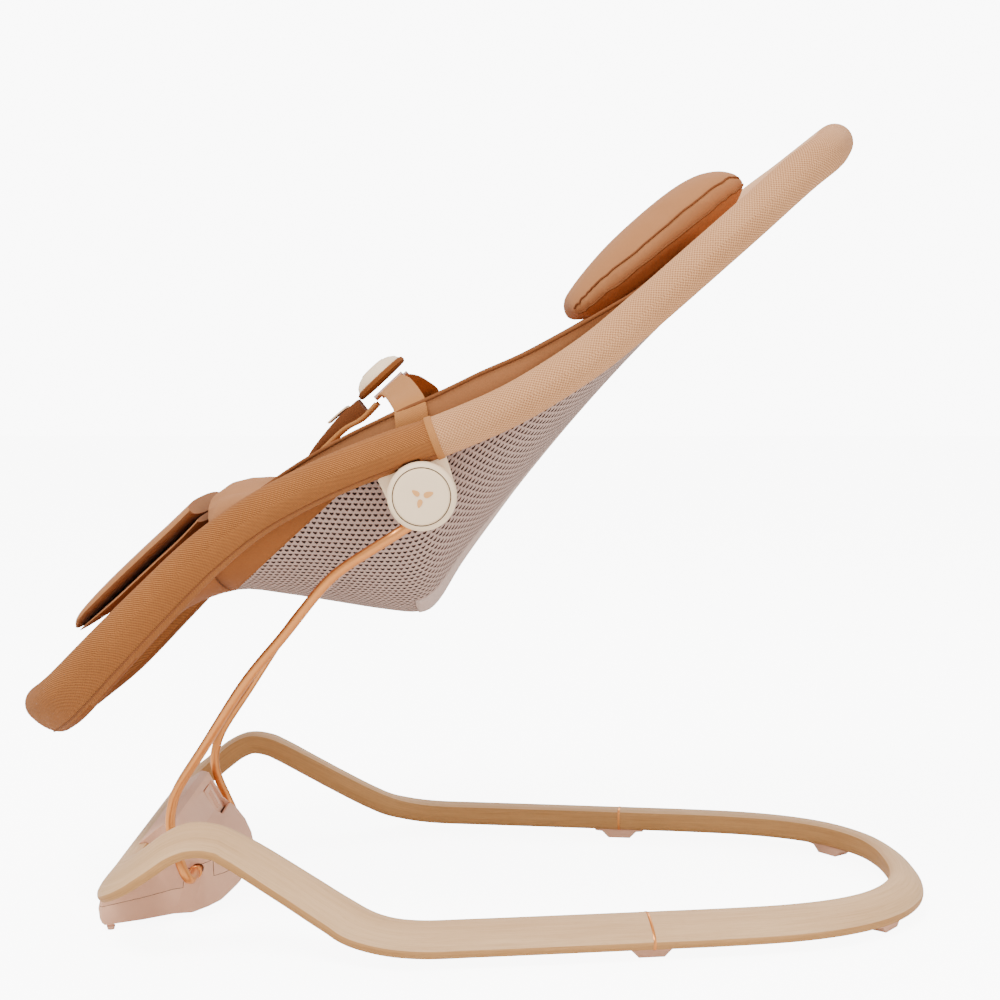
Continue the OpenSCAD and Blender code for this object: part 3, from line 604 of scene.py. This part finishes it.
def woodLoop(s):
    path = smoothLine(wholeLoop(s["half"]), s["steps"], closed=True)
    at = s["bandRow"] * s["steps"]
    back = len(path) - at
    half = s["band"] / 2
    low, high = s["topSpots"]
    # the top faces take the plain wood, all other faces the darker copy as painted shade
    topFaces = lambda turn, spot: 0 if low <= spot <= high else 1
    front = [railRing(path, -at, s, shift=-half)] + [railRing(path, i, s) for i in range(1 - at, at)]
    front.append(railRing(path, at, s, shift=-half))
    settle(loft("woodFront", front, [ash, ashShaded], pick=topFaces), "base", "oak", "front_bow")
    rear = [railRing(path, at, s, shift=half)] + [railRing(path, i, s) for i in range(at + 1, back)]
    rear.append(railRing(path, back, s, shift=half))
    settle(loft("woodRear", rear, [ash, ashShaded], pick=topFaces), "base", "oak", "rear_bow")
    for name, i in (("right", at), ("left", back)):
        bandSides = ((-0.1, -half), (0.25, -half), (0.4, -half + 0.25), (0.4, half - 0.25), (0.25, half),
                     (-0.1, half))
        rings = [railRing(path, i, s, grow, shift) for grow, shift in bandSides]
        settle(loft("copperBand_" + name, rings, [copper]), "base", "copper", "joint_band_" + name)
    print("wooden loop made")


# ---------- rod legs
rod = {"size": 8, "steps": 6,
       "collar": [(87.2, 4.05), (87.4, 4.8), (88, 5.3), (89.4, 5.3), (90, 4.8), (90.2, 4.05)],
       "route": [(-222, 58, 40), (-222, 80, 40), (-222, 100, 40), (-222, 107, 40), (-223.5, 112, 41.5),
                 (-226, 114, 46), (-229, 113.5, 53), (-234, 111, 66), (-237.5, 109, 80), (-237, 109, 95),
                 (-230, 111.5, 115), (-208, 121, 149), (-173, 141, 203), (-141, 156, 242), (-119, 167, 270),
                 (-105, 173, 286), (-91, 178, 297.5), (-74, 184, 308.8), (-58.8, 188, 318.6),
                 (-52.1, 188, 323), (-42, 188, 329.5)]}


def rodLegs(s):
    rings = ringPath(disc(s["size"] / 2), smoothLine(s["route"], s["steps"]), (0.3, -0.2, 0.9))
    right = loft("rodLeg_right", rings, [copper])
    x, y, z = s["route"][0]
    collar = ringPath(disc(1, 32), [(x, place, z) for place, radius in s["collar"]], (0, 0, 1))
    for hoop, (place, radius) in zip(collar, s["collar"]):
        middle = sum(hoop, Vector()) / len(hoop)
        hoop[:] = [middle + (p - middle) * radius for p in hoop]
    rightCollar = loft("rodCollar_right", collar, [copper])
    for piece, side in ((right, "right"), (mirrorPiece(right, "rodLeg_left"), "left")):
        settle(piece, "legs", "copper", "leg_rod_" + side)
    for piece in (rightCollar, mirrorPiece(rightCollar, "rodCollar_left")):
        settle(piece, "legs", "copper")
    print("rods made")


# ---------- seat ring sleeves
ring = {"thick": 31, "steps": 6, "splitRow": 10, "sides": 36, "hemRow": 5.5, "hemSpots": (25, 31),
        "hemTaper": 5, "plainRow": 6.5, "plainSpots": (11, 27),
        "binding": ((-2.6, -0.2), (-2.6, 0.7), (-2.1, 1.1), (2.1, 1.1), (2.6, 0.7), (2.6, -0.2)),
        "half": [(-360, 0, 163, 43, 45), (-346, 62, 173, 43, 45), (-321, 108, 192, 44, 44),
                 (-283, 137, 228, 45, 41), (-242, 153, 267, 44, 38), (-202, 164, 303.5, 41, 35),
                 (-163, 171, 332, 35, 32), (-125, 175, 353, 28, 31), (-88, 178, 370, 23, 31),
                 (-51, 180, 384, 20, 31), (-26, 180, 392, 20, 31), (22, 180, 412, 25, 31),
                 (58, 179, 432, 30, 31), (95, 176, 457, 37, 31), (132, 171, 488, 41, 31),
                 (170, 165, 521, 41, 31), (208, 153, 554, 41, 31), (247, 131, 588, 41, 31),
                 (272, 101, 607, 41, 31), (286, 54, 618.5, 41, 31), (296, 0, 627, 41, 31)],
        "hub": (-35, 350, 26, 182.4)}


def sleeveRing(path, i, s, grow=0.0):
    # round above, and as deep below as the path says
    tall = path[i % len(path)][4]
    radius = s["thick"] / 2 + grow
    section = []
    for k in range(s["sides"]):
        angle = 2 * math.pi * k / s["sides"]
        drop = (tall - s["thick"]) * max(0, -math.sin(angle))
        section.append((radius * math.cos(angle), radius * math.sin(angle) - drop))
    made = ringAt(path, i, section)
    # the sleeve is pressed flat behind the round hub
    x, z, radius, face = s["hub"]
    for point in made:
        if math.hypot(point.x - x, point.z - z) < radius:
            point.y = max(-face, min(face, point.y))
    return made


def seatSleeves(s):
    path = smoothLine(wholeLoop(s["half"]), s["steps"], closed=True)
    at = s["splitRow"] * s["steps"]
    reach = s["hemRow"] * s["steps"]
    low, high = s["hemSpots"]

    def hemFaces(turn, spot):
        # plain cloth along the lower edge, only near the foot
        away = abs(turn - at) / reach
        return 1 if away < 1 and low <= spot <= high - s["hemTaper"] * away ** 2 else 0

    footRings = [sleeveRing(path, i, s) for i in range(-at, at + 1)]
    foot = loft("footSleeve", footRings, [cognac, hem], pick=hemFaces)
    settle(foot, "seat", "cognac_knit", "bolster_foot")
    plain = s["plainRow"] * s["steps"]
    middle = len(path) // 2 - at
    first, last = s["plainSpots"]

    def innerFaces(turn, spot):
        # the head end is plain cloth on the side that faces the child
        return 1 if abs(turn - middle) < plain and first <= spot <= last else 0

    headRings = [sleeveRing(path, i, s) for i in range(at, len(path) - at + 1)]
    head = loft("headSleeve", headRings, [tan, tanPanel], pick=innerFaces)
    settle(head, "seat", "tan_knit", "bolster_head")
    line = [sleeveRing(path, i, s, 0.1)[high] for i in range(-at, at + 1)]
    seam = loft("footSleeveSeam", ringPath(disc(0.8, 8), line, (0.1, 0.2, 0.9)), [piping])
    settle(seam, "seat", "cognac_knit")
    for name, i in (("right", at), ("left", len(path) - at)):
        rings = []
        for shift, grow in s["binding"]:
            rings.append([p + Vector((shift, 0, 0.35 * shift)) for p in sleeveRing(path, i, s, grow)])
        settle(loft("sleeveBinding_" + name, rings, [webbing]), "seat", "webbing", "binding_" + name)
    print("sleeves made")


# ---------- hanging mesh, panels and liner
seat = {"steps": 4, "points": 41, "belly": 2.3, "cloth": 1.2, "weaveTilt": 0.08,
        "rows": [(-322, 190, 68, -313, 183, 0, 60, 12), (-287, 223, 110, -279, 208, 0, 80, 12),
                 (-243, 264, 135, -236, 245, -10, 90, 12), (-202, 302.5, 147.5, -190, 262, -25, 105, 12),
                 (-163, 331, 154.5, -147, 257, -1, 142, 14), (-125, 353, 158.5, -106, 249.5, 42, 154, 18),
                 (-88, 370, 161.5, -70, 243.5, 70, 157, 22), (-51, 384, 163, -44, 241.5, 90, 159, 26),
                 (-26, 392, 163, -29, 251, 94, 159, 30), (2, 404, 163, -10, 282, 80, 159, 33),
                 (34, 418, 163, 14, 316, 62, 159, 35), (66, 437, 162, 39, 350, 42, 158, 36),
                 (98, 460, 159, 72, 391, 26, 155, 32), (132, 488, 154, 104, 428, 17, 150, 24),
                 (160, 512, 149, 133, 459, 15, 144, 17), (184, 533, 143, 163, 489, 14, 138, 12),
                 (208, 554, 134, 194, 520, 12, 128, 12), (240, 580, 113, 229, 555, 10, 105, 12),
                 (262, 598, 82, 254, 581, 8, 74, 12), (272, 606, 52, 265, 593, 6, 42, 12)],
        "clothEdge": ((-194, 262), (-74, 372))}


def hangingLine(q, half, depth, top, s, lift=0.0):
    # a U from rim to rim square to the seat, lift moves it out from the seat's middle
    down = Vector((q[3] - q[0], 0, q[4] - q[1])).normalized()
    line = []
    for k in range(s["points"]):
        angle = math.pi * k / (s["points"] - 1)
        c, d = math.cos(angle), math.sin(angle)
        across = boxed(c, s["belly"])
        below = boxed(d, s["belly"]) * (depth + lift + top) - top
        line.append(Vector((q[0], 0, q[1])) + Vector((0, (half + lift) * across, 0)) + down * below)
    return line


def clothSheet(name, first, last, materials, top, s, lift=0.0, narrow=1.0):
    # one sheet between two rows, with its flat size and area in metres
    rows = smoothLine(s["rows"], s["steps"])[first * s["steps"]:last * s["steps"] + 1]
    lines = []
    for q in rows:
        depth = math.hypot(q[3] - q[0], q[4] - q[1])
        line = hangingLine(q, q[2], depth, top, s, lift)
        keep = round((1 - narrow) / 2 * (len(line) - 1))
        lines.append(line[keep:len(line) - keep])
    sheet = loft(name, lines, materials, around=False, caps=False)
    evenMap(sheet, lines, s["weaveTilt"])
    if len(materials) > 1:
        joinCloth(sheet, s["clothEdge"])
    area = sum(f.area for f in sheet.data.polygons)
    wide = max(lineLength(line) for line in lines) * mm
    thick = sheet.modifiers.new("clothThickness", "SOLIDIFY")
    thick.thickness = s["cloth"] * mm
    thick.offset = 0
    return sheet, (wide, area / wide), area


def evenMap(sheet, lines, tilt):
    # the weave keeps level along the seat and keeps its true length from rim to rim
    across = []
    for line in lines:
        lengths = [0.0]
        for k in range(1, len(line)):
            lengths.append(lengths[-1] + (line[k] - line[k - 1]).length * mm)
        across.append([length - lengths[len(line) // 2] for length in lengths])
    uv = sheet.data.uv_layers["UVMap"].data
    spots = sheet.data.attributes["spotNumber"].data
    turns = sheet.data.attributes["ringNumber"].data
    for loop in sheet.data.loops:
        k = loop.vertex_index
        vert = sheet.data.vertices[k].co
        uv[loop.index].uv = (vert.x + tilt * vert.z, across[turns[k].value][spots[k].value])


def joinCloth(sheet, edge):
    # the net starts at a straight seam, everything in front of it is plain cloth
    (x, z), (x2, z2) = edge
    normal = Vector((z - z2, 0, x2 - x)).normalized()
    bm = bmesh.new()
    bm.from_mesh(sheet.data)
    cut = bmesh.ops.bisect_plane(bm, geom=list(bm.verts) + list(bm.edges) + list(bm.faces), dist=1e-6,
                                 plane_co=(x * mm, 0, z * mm), plane_no=normal)["geom_cut"]
    for face in bm.faces:
        front = (face.calc_center_median() - Vector((x, 0, z)) * mm).dot(normal) > 0
        face.material_index = 1 if front else 0
    line = sorted([v.co / mm for v in cut if isinstance(v, bmesh.types.BMVert)], key=lambda p: p.y)
    bm.to_mesh(sheet.data)
    bm.free()
    rings = ringPath(disc(0.9, 8), line, (0.7, 0, 0.7))
    settle(loft("slingSeam", rings, [panelCloth]), "seat", "suede")


def slingAndPanels(s):
    for name, node, first, last, materials, slotName, top in (
            ("meshSling", "mesh_sling", 3, 14, [netting, panelCloth], "mesh", 4),
            ("footPanel", "foot_panel", 0, 3, [panelCloth], "suede", 0),
            ("headPanel", "head_panel", 14, 19, [tanPanel], "tan_knit", 4)):
        sheet, flat, area = clothSheet(name, first, last, materials, top, s)
        settle(sheet, "seat", slotName, node)
    tape, flat, area = clothSheet("backTape", 7, 19, [lilac], 4, s, lift=0.9, narrow=0.34)
    settle(tape, "seat", "mesh")
    print("sling and panels made")


liner = {"first": 3, "last": 15, "thick": 15, "thinRim": 0.8, "crown": 3.5, "sunk": 0.6, "puff": 0.4,
         "wingAt": 0.27, "cells": [3, 5, 7, 9, 11, 13, 15]}


def linerPad(s, seatRows):
    steps = seatRows["steps"]
    fine = smoothLine(seatRows["rows"], steps)
    rings = []
    wing = s["wingAt"]
    for i in range(s["first"] * steps, s["last"] * steps + 1):
        q = fine[i]
        station = i / steps
        cell = max(c for c in s["cells"] if c <= station + 1e-6)
        following = min([c for c in s["cells"] if c > station + 1e-6] + [s["last"] + 1e-3])
        share = (station - cell) / max(following - cell, 1e-3)
        lengthwise = abs(math.sin(math.pi * share)) ** s["puff"]
        outer = hangingLine(q, q[6], q[5], q[7], seatRows)
        inner = []
        base = hangingLine(q, q[6] - s["thinRim"] * s["thick"], q[5] - s["thick"], q[7] + 0.5, seatRows)
        down = Vector((q[3] - q[0], 0, q[4] - q[1])).normalized()
        for k, point in enumerate(base):
            t = k / (len(base) - 1)
            edge = min(t, 1 - t)
            part = edge / wing if edge < wing else (edge - wing) / (0.5 - wing) * 0.5
            crosswise = abs(math.sin(math.pi * part)) ** s["puff"]
            inner.append(point - down * s["crown"] * (crosswise * lengthwise - s["sunk"]))
        rings.append(outer + inner[::-1])
    pad = loft("linerPad", rings, [jersey], smooth=60)
    settle(pad, "seat", "suede", "inlay")
    # piping along both rims
    for side, spot in (("right", 0), ("left", seatRows["points"] - 1)):
        line = [r[spot] + Vector((0, 0, 1.0)) for r in rings]
        cord = loft("linerPiping_" + side, ringPath(disc(1.6, 12), line, (0.1, 0.2, 0.9)), [piping])
        settle(cord, "seat", "suede")
    print("liner made")


# ---------- leg flap
flap = {"belly": 2.6, "sides": 28,
        "layers": (("flapUpper", 1.0, -0.34, 1.0), ("flapLower", 0.97, -1.0, -0.44)),
        "rows": [(-324, 230, 44, 7, 50), (-316, 239.5, 62, 15, 47), (-293, 261, 70, 20, 45),
                 (-262, 290, 72, 21, 43), (-240, 310, 76, 21, 40), (-222, 327.5, 82, 20, 34)]}


def legFlap(s):
    # two flat pads, one on the other, with a narrow gap between them
    for name, share, low, high in s["layers"]:
        rings = []
        for q in smoothLine(s["rows"], 6):
            up = slopeNormal(q[4])
            ringPoints = []
            for k in range(s["sides"]):
                angle = 2 * math.pi * k / s["sides"]
                across = boxed(math.cos(angle), s["belly"]) * q[2] * share
                lift = (low + high) / 2 + (high - low) / 2 * boxed(math.sin(angle), s["belly"])
                ringPoints.append(Vector((q[0], across, q[1])) + up * (q[3] / 2 * lift))
            rings.append(ringPoints)
        layer = loft(name, rings, [jersey], smooth=60)
        settle(layer, "seat", "suede", *(["leg_flap"] if name == "flapUpper" else []))
    print("leg flap made")


# ---------- head pillow
pillow = {"start": (79, 0, 479.5), "slope": 38.4, "crown": 38, "belly": 14, "boxy": 3.4,
          "swell": 4.0, "cap": 3, "voxel": 5, "frames": 20,
          "seamHigh": 15, "seamShare": 0.75, "seamLow": -2.5,
          "rows": [(2, 78, 0.26), (6, 84, 0.38), (13, 90, 0.47), (23, 94, 0.55), (36, 97, 0.64),
                   (63, 100, 0.77), (95, 100, 0.84), (127, 99, 0.85), (149, 95, 0.78), (162, 90, 0.64),
                   (171, 82, 0.47), (177, 72, 0.26)]}


def puffUp(piece, s):
    # cloth under light pressure, stopped when a point has moved by the cap
    scene = bpy.context.scene
    bpy.context.view_layer.objects.active = piece
    remesh = piece.modifiers.new("voxels", "REMESH")
    remesh.mode = "VOXEL"
    remesh.voxel_size = s["voxel"] * mm
    bpy.ops.object.modifier_apply(modifier=remesh.name)
    start = [v.co.copy() for v in piece.data.vertices]
    cloth = piece.modifiers.new("cloth", "CLOTH")
    cloth.settings.use_pressure = True
    cloth.settings.uniform_pressure_force = s["swell"]
    cloth.settings.effector_weights.gravity = 0
    cloth.settings.quality = 5
    cloth.point_cache.frame_end = s["frames"]
    for number in range(1, s["frames"] + 1):
        scene.frame_set(number)
    bpy.ops.object.modifier_apply(modifier=cloth.name)
    scene.frame_set(1)
    bm = bmesh.new()
    bm.from_mesh(piece.data)
    for vert, home in zip(bm.verts, start):
        moved = vert.co - home
        if moved.length > s["cap"] * mm:
            vert.co = home + moved.normalized() * s["cap"] * mm
    for turn in range(3):
        bmesh.ops.smooth_vert(bm, verts=bm.verts, factor=0.5, use_axis_x=True, use_axis_y=True,
                              use_axis_z=True)
    bm.to_mesh(piece.data)
    bm.free()
    for face in piece.data.polygons:
        face.use_smooth = True
    finer = piece.modifiers.new("finer", "SUBSURF")
    finer.levels = 1
    finer.render_levels = 1


def onPillow(s, along, across, up):
    slope = math.radians(s["slope"])
    ahead = Vector((math.cos(slope), 0, math.sin(slope)))
    return Vector(s["start"]) + ahead * along + Vector((0, across, 0)) + slopeNormal(s["slope"]) * up


def pillowRing(q, s, count=36, inset=1.5):
    points = []
    for k in range(count):
        angle = 2 * math.pi * k / count
        c, d = math.cos(angle), math.sin(angle)
        tall = (s["crown"] if d > 0 else s["belly"]) * q[2] - inset
        points.append(onPillow(s, q[0], boxed(c, s["boxy"]) * (q[1] - inset), boxed(d, s["boxy"]) * tall))
    return points


def headPillow(s):
    rows = smoothLine(s["rows"], 4)
    pad = loft("headPillow", [pillowRing(q, s) for q in rows], [jersey], smooth=0)
    puffUp(pad, s)
    settle(pad, "head_pillow", "suede", "head_pillow")
    # a flat side panel is sewn in along each side, its seams lie on the puffed cloth
    bm = bmesh.new()
    bm.from_mesh(pad.data)
    skin = BVHTree.FromBMesh(bm)
    top = [(q[0], min(s["seamHigh"], s["seamShare"] * s["crown"] * q[2]), q[1]) for q in rows[1:-1]]
    low = [(q[0], s["seamLow"], q[1]) for q in rows[1:-1]]
    for side, way in (("right", 1), ("left", -1)):
        for part, line in (("Top", top), ("Low", low)):
            placed = []
            for along, up, across in line:
                point, normal, face, away = skin.find_nearest(onPillow(s, along, way * across, up) * mm)
                placed.append((point + normal * 0.0002) / mm)
            rings = ringPath(disc(0.8, 8), placed, (-0.6, 0.01, 0.8))
            settle(loft("pillow" + part + "Seam_" + side, rings, [piping]), "head_pillow", "suede")
    bm.free()
    print("pillow made")


# ---------- harness
harness = {"wide": 25, "thick": 1.7, "buckle": (-76, 0, 433), "slope": 43,
           "waist": [(-43, 162, 396, 20), (-44, 161.8, 408, 20), (-46, 157, 416.5, 21), (-49, 146, 420.5, 22),
                     (-53, 122, 424, 25), (-59, 88, 428, 32), (-65, 58, 429, 39), (-68, 45, 428, 43)],
           "crotchWide": 34, "rollAt": 15.5, "plateSpan": (-117, -99), "plateOut": 5.2,
           "crotch": [(-92, 0, 411, 13), (-106, 0, 400, 11), (-121, 0, 386, 7), (-134, 0, 371, 4),
                      (-141, 0, 356, 3)],
           "crotchEdge": [(-80, 0, 413), (-93, 0, 400), (-107, 0, 392), (-121, 0, 379), (-134, 0, 366)]}


def strapSection(wide, thick):
    a, b = wide / 2, thick / 2
    return [(-a, -b * 0.4), (-a + 0.8, -b)] + [(-a + wide * k / 8, -b) for k in range(1, 8)] + \
        [(a - 0.8, -b), (a, -b * 0.4), (a, b * 0.4), (a - 0.8, b)] + \
        [(a - wide * k / 8, b) for k in range(1, 8)] + [(-a + 0.8, b), (-a, b * 0.4)]


def strapRings(line, sideOf, wide, thick):
    rings = []
    last = len(line) - 1
    for i, here in enumerate(line):
        ahead = (Vector(line[min(i + 1, last)][:3]) - Vector(line[max(i - 1, 0)][:3])).normalized()
        face = ahead.cross(Vector(sideOf(here))).normalized()
        across = face.cross(ahead)
        rings.append([Vector(here[:3]) + across * a + face * b for a, b in strapSection(wide, thick)])
    return rings


def turned(name, profile, place, ahead, materials, count=64):
    # a lathe piece: (radius, height) points turned about an axis through place
    bm = bmesh.new()
    verts = [bm.verts.new((r * mm, 0, h * mm)) for r, h in profile]
    edges = [bm.edges.new((a, b)) for a, b in zip(verts, verts[1:])]
    bmesh.ops.spin(bm, geom=verts + edges, cent=(0, 0, 0), axis=(0, 0, 1), angle=2 * math.pi, steps=count,
                   use_merge=True)
    bmesh.ops.remove_doubles(bm, verts=bm.verts, dist=1e-6)
    bmesh.ops.recalc_face_normals(bm, faces=bm.faces)
    turn = Vector(ahead).to_track_quat("Z", "Y").to_matrix().to_4x4()
    turn.translation = Vector(place) * mm
    bmesh.ops.transform(bm, matrix=turn, verts=bm.verts)
    return link(name, bm, materials, 35)


def harnessPieces(s):
    line = smoothLine(s["waist"], 6)
    sideOf = lambda q: (math.cos(math.radians(q[3])), 0, math.sin(math.radians(q[3])))
    right = loft("waistStrap_right", strapRings(line, sideOf, s["wide"], s["thick"]), [webbing])
    settle(right, "seat", "webbing", "waist_strap_right")
    settle(mirrorPiece(right, "waistStrap_left"), "seat", "webbing", "waist_strap_left")
    # the crotch strap is a padded wedge, with a rolled edge under it and a cream plate on its front
    line = smoothLine(s["crotch"], 5)
    acrossSeat = lambda q: (0, 1, 0)
    wedge = [strapRings(line, acrossSeat, s["crotchWide"], q[3])[i] for i, q in enumerate(line)]
    settle(loft("crotchStrap", wedge, [strapShade]), "seat", "webbing", "crotch_strap")
    for name, y in (("right", s["rollAt"]), ("left", -s["rollAt"])):
        edge = [(q[0], y, q[2]) for q in smoothLine(s["crotchEdge"], 5)]
        roll = loft("crotchRoll_" + name, ringPath(disc(2.2, 12), edge, (0.6, 0.1, -0.8)), [webbing])
        settle(roll, "seat", "webbing")
    low, high = s["plateSpan"]
    outer = [(q[0] - s["plateOut"], 0, q[2] + s["plateOut"]) for q in line if low < q[0] < high]
    settle(loft("crotchPlate", strapRings(outer, acrossSeat, 30, 1.8), [cream]), "seat", "cream_plastic")
    up = slopeNormal(s["slope"])
    cup = [(0, 0.2), (21.5, 0.2), (22.6, 1.2), (22.4, 4.4), (20.5, 7.8), (16.5, 10.6), (13.4, 11.9),
           (12.6, 11.6), (12.5, 4.2), (0, 4.2)]
    settle(turned("buckleCup", cup, s["buckle"], up, [cream]), "seat", "cream_plastic", "buckle_base")
    knob = [(0, 6), (11.5, 6), (11.8, 6.4), (11.8, 12.2), (11.2, 12.9), (8, 13.3), (0, 13.5)]
    pressed = turned("buckleKnob", knob, s["buckle"], up, [cream])
    settle(pressed, "buckle_button", "cream_plastic", "buckle_button")
    rim = [(21.0, -1.6), (23.6, -1.4), (25.0, 0.4), (24.6, 3.2), (23.0, 4.2), (21.4, 3.4), (21.0, -1.6)]
    settle(turned("buckleBinding", rim, s["buckle"], up, [hem]), "seat", "webbing")
    print("harness made")


# ---------- round hubs
hub = {"centre": (-35, 350), "inner": 183, "thick": 16, "size": 51, "button": 41, "round": 5,
       "leaves": ((0, 7.5, 4.2), (125, 6.5, 3.6), (235, 6.5, 3.6)), "printAt": 17.05, "printThick": 0.25}


def roundHubs(s):
    r = s["size"] / 2
    b = s["button"] / 2
    bend = s["round"]
    cup = [(4.2, 0), (r - 1, 0), (r, 1)]
    for angle in range(0, 91, 15):
        a = math.radians(angle)
        cup.append((r - bend + bend * math.cos(a), s["thick"] - bend + bend * math.sin(a)))
    cup += [(b + 0.7, s["thick"]), (b + 0.4, s["thick"] - 0.3), (b + 0.4, 10.5), (12, 10.5), (12, 4.5),
            (4.2, 4.5), (4.2, 0)]
    cap = [(0, 14.2), (b - 0.4, 14.2), (b, 14.6), (b, 16.2), (b - 0.6, 17), (b - 1.6, 17.2), (b - 6, 17.1),
           (0, 16.9)]
    grooveShade = [(b + 0.35, 14.6), (b + 1.1, 14.6), (b + 1.1, 16.08), (b + 0.35, 16.08), (b + 0.35, 14.6)]
    for side, way in (("right", 1), ("left", -1)):
        place = (s["centre"][0], way * s["inner"], s["centre"][1])
        button = "recline_button_" + side
        outerCup = turned("hubCup_" + side, cup, place, (0, way, 0), [cream], 96)
        settle(outerCup, "legs", "cream_plastic", "leg_hub_" + side)
        disk = turned("hubButton_" + side, cap, place, (0, way, 0), [cream], 96)
        settle(disk, button, "cream_plastic", button)
        settle(petals("hubPetals_" + side, place, way, s), button, "cream_plastic")
        # a dark ring sits in the groove round the button, painted shade
        shadow = turned("hubGrooveShade_" + side, grooveShade, place, (0, way, 0), [paintedGapShade], 96)
        settle(shadow, "legs", "cream_plastic")
    print("hubs made")


def petals(name, place, way, s):
    # a small printed sprig of three leaves
    bm = bmesh.new()
    for turn, long, wide in s["leaves"]:
        made = bmesh.ops.create_circle(bm, cap_ends=True, segments=32, radius=1)["verts"]
        a = math.radians(turn + 20)
        for vert in made:
            x, y = vert.co.x, vert.co.y
            # each leaf starts a little off the middle and narrows outward
            x, y = (x * long / 2 + long / 2 + 1.8), y * wide / 2 * (1 - 0.35 * x)
            across, up = x * math.cos(a) - y * math.sin(a), x * math.sin(a) + y * math.cos(a)
            vert.co = Vector((across * mm, way * s["printAt"] * mm, up * mm))
    flat = list(bm.faces)
    grown = bmesh.ops.extrude_face_region(bm, geom=flat)["geom"]
    raised = [v for v in grown if isinstance(v, bmesh.types.BMVert)]
    bmesh.ops.translate(bm, verts=raised, vec=(0, way * s["printThick"] * mm, 0))
    bmesh.ops.translate(bm, verts=bm.verts, vec=(place[0] * mm, place[1] * mm, place[2] * mm))
    bmesh.ops.recalc_face_normals(bm, faces=bm.faces)
    return link(name, bm, [peach], 30)


# ---------- CAD nodes that keep their shape, or get rounded edges
# the line where the two housing shells part, in x and z, with painted shade along the gap
parting = {"line": [(-310, 18.4), (-232.5, 26.2), (-231, 41), (-211, 45), (-210.5, 31.4), (-170, 30.2)],
           "reach": 0.75, "sideways": 0.3}


def mouldedPieces():
    for node, name, width in (("housing_upper", "housingTop", 0.4), ("housing_lower", "housingBottom", 0.3)):
        rounded(node, name, blush, width, "base", "blush_plastic", parting=parting)
    for side in ("left", "right"):
        rounded("hub_bracket_" + side, "hubBracket_" + side, cream, 0.8, "seat", "cream_plastic")
    for end in ("mid", "rear"):
        for side in ("left", "right"):
            name = "glidePad_" + end + side.title()
            rounded("glide_pad_" + end + "_" + side, name, blush, 0.5, "base", "blush_plastic")
    rounded("mode_slide", "modeSlide", blush, 0.3, "mode_slide", "blush_plastic")
    steelNodes = ["joint_dowels", "housing_screws", "pad_screws", "cross_shaft", "lock_cam", "ring_tube"]
    for name in ("bounce_spring_", "hub_axle_", "index_plate_", "button_spring_"):
        steelNodes += [name + "left", name + "right"]
    for material, nodes in ((steelMade, steelNodes), (darkPart, ["shaft_bush_left", "shaft_bush_right"]),
                            (blush, ["front_feet"]), (rose, ["slider_bar_left", "slider_bar_right"])):
        for node in nodes:
            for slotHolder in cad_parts[node].material_slots:
                slotHolder.material = material
    print("moulded pieces made")


def makeFloor(s):
    # the floor glows a little for the camera, so it meets the backdrop without an edge
    tree = floorMade.node_tree
    shader = tree.nodes["Principled BSDF"]
    path = tree.nodes.new("ShaderNodeLightPath")
    glow = mixColour(tree, path.outputs["Is Camera Ray"], black, white)
    tree.links.new(glow, shader.inputs["Emission Color"])
    shader.inputs["Emission Strength"].default_value = s["floorGlow"]
    bm = bmesh.new()
    bmesh.ops.create_grid(bm, x_segments=2, y_segments=2, size=9)
    floor = link("floor", bm, [floorMade], 0)


makeCamera(viewSettings)
makeLights(lightSettings)
makeFloor(lightSettings)
woodLoop(rail)
rodLegs(rod)
seatSleeves(ring)
slingAndPanels(seat)
linerPad(liner, seat)
legFlap(flap)
headPillow(pillow)
harnessPieces(harness)
roundHubs(hub)
mouldedPieces()
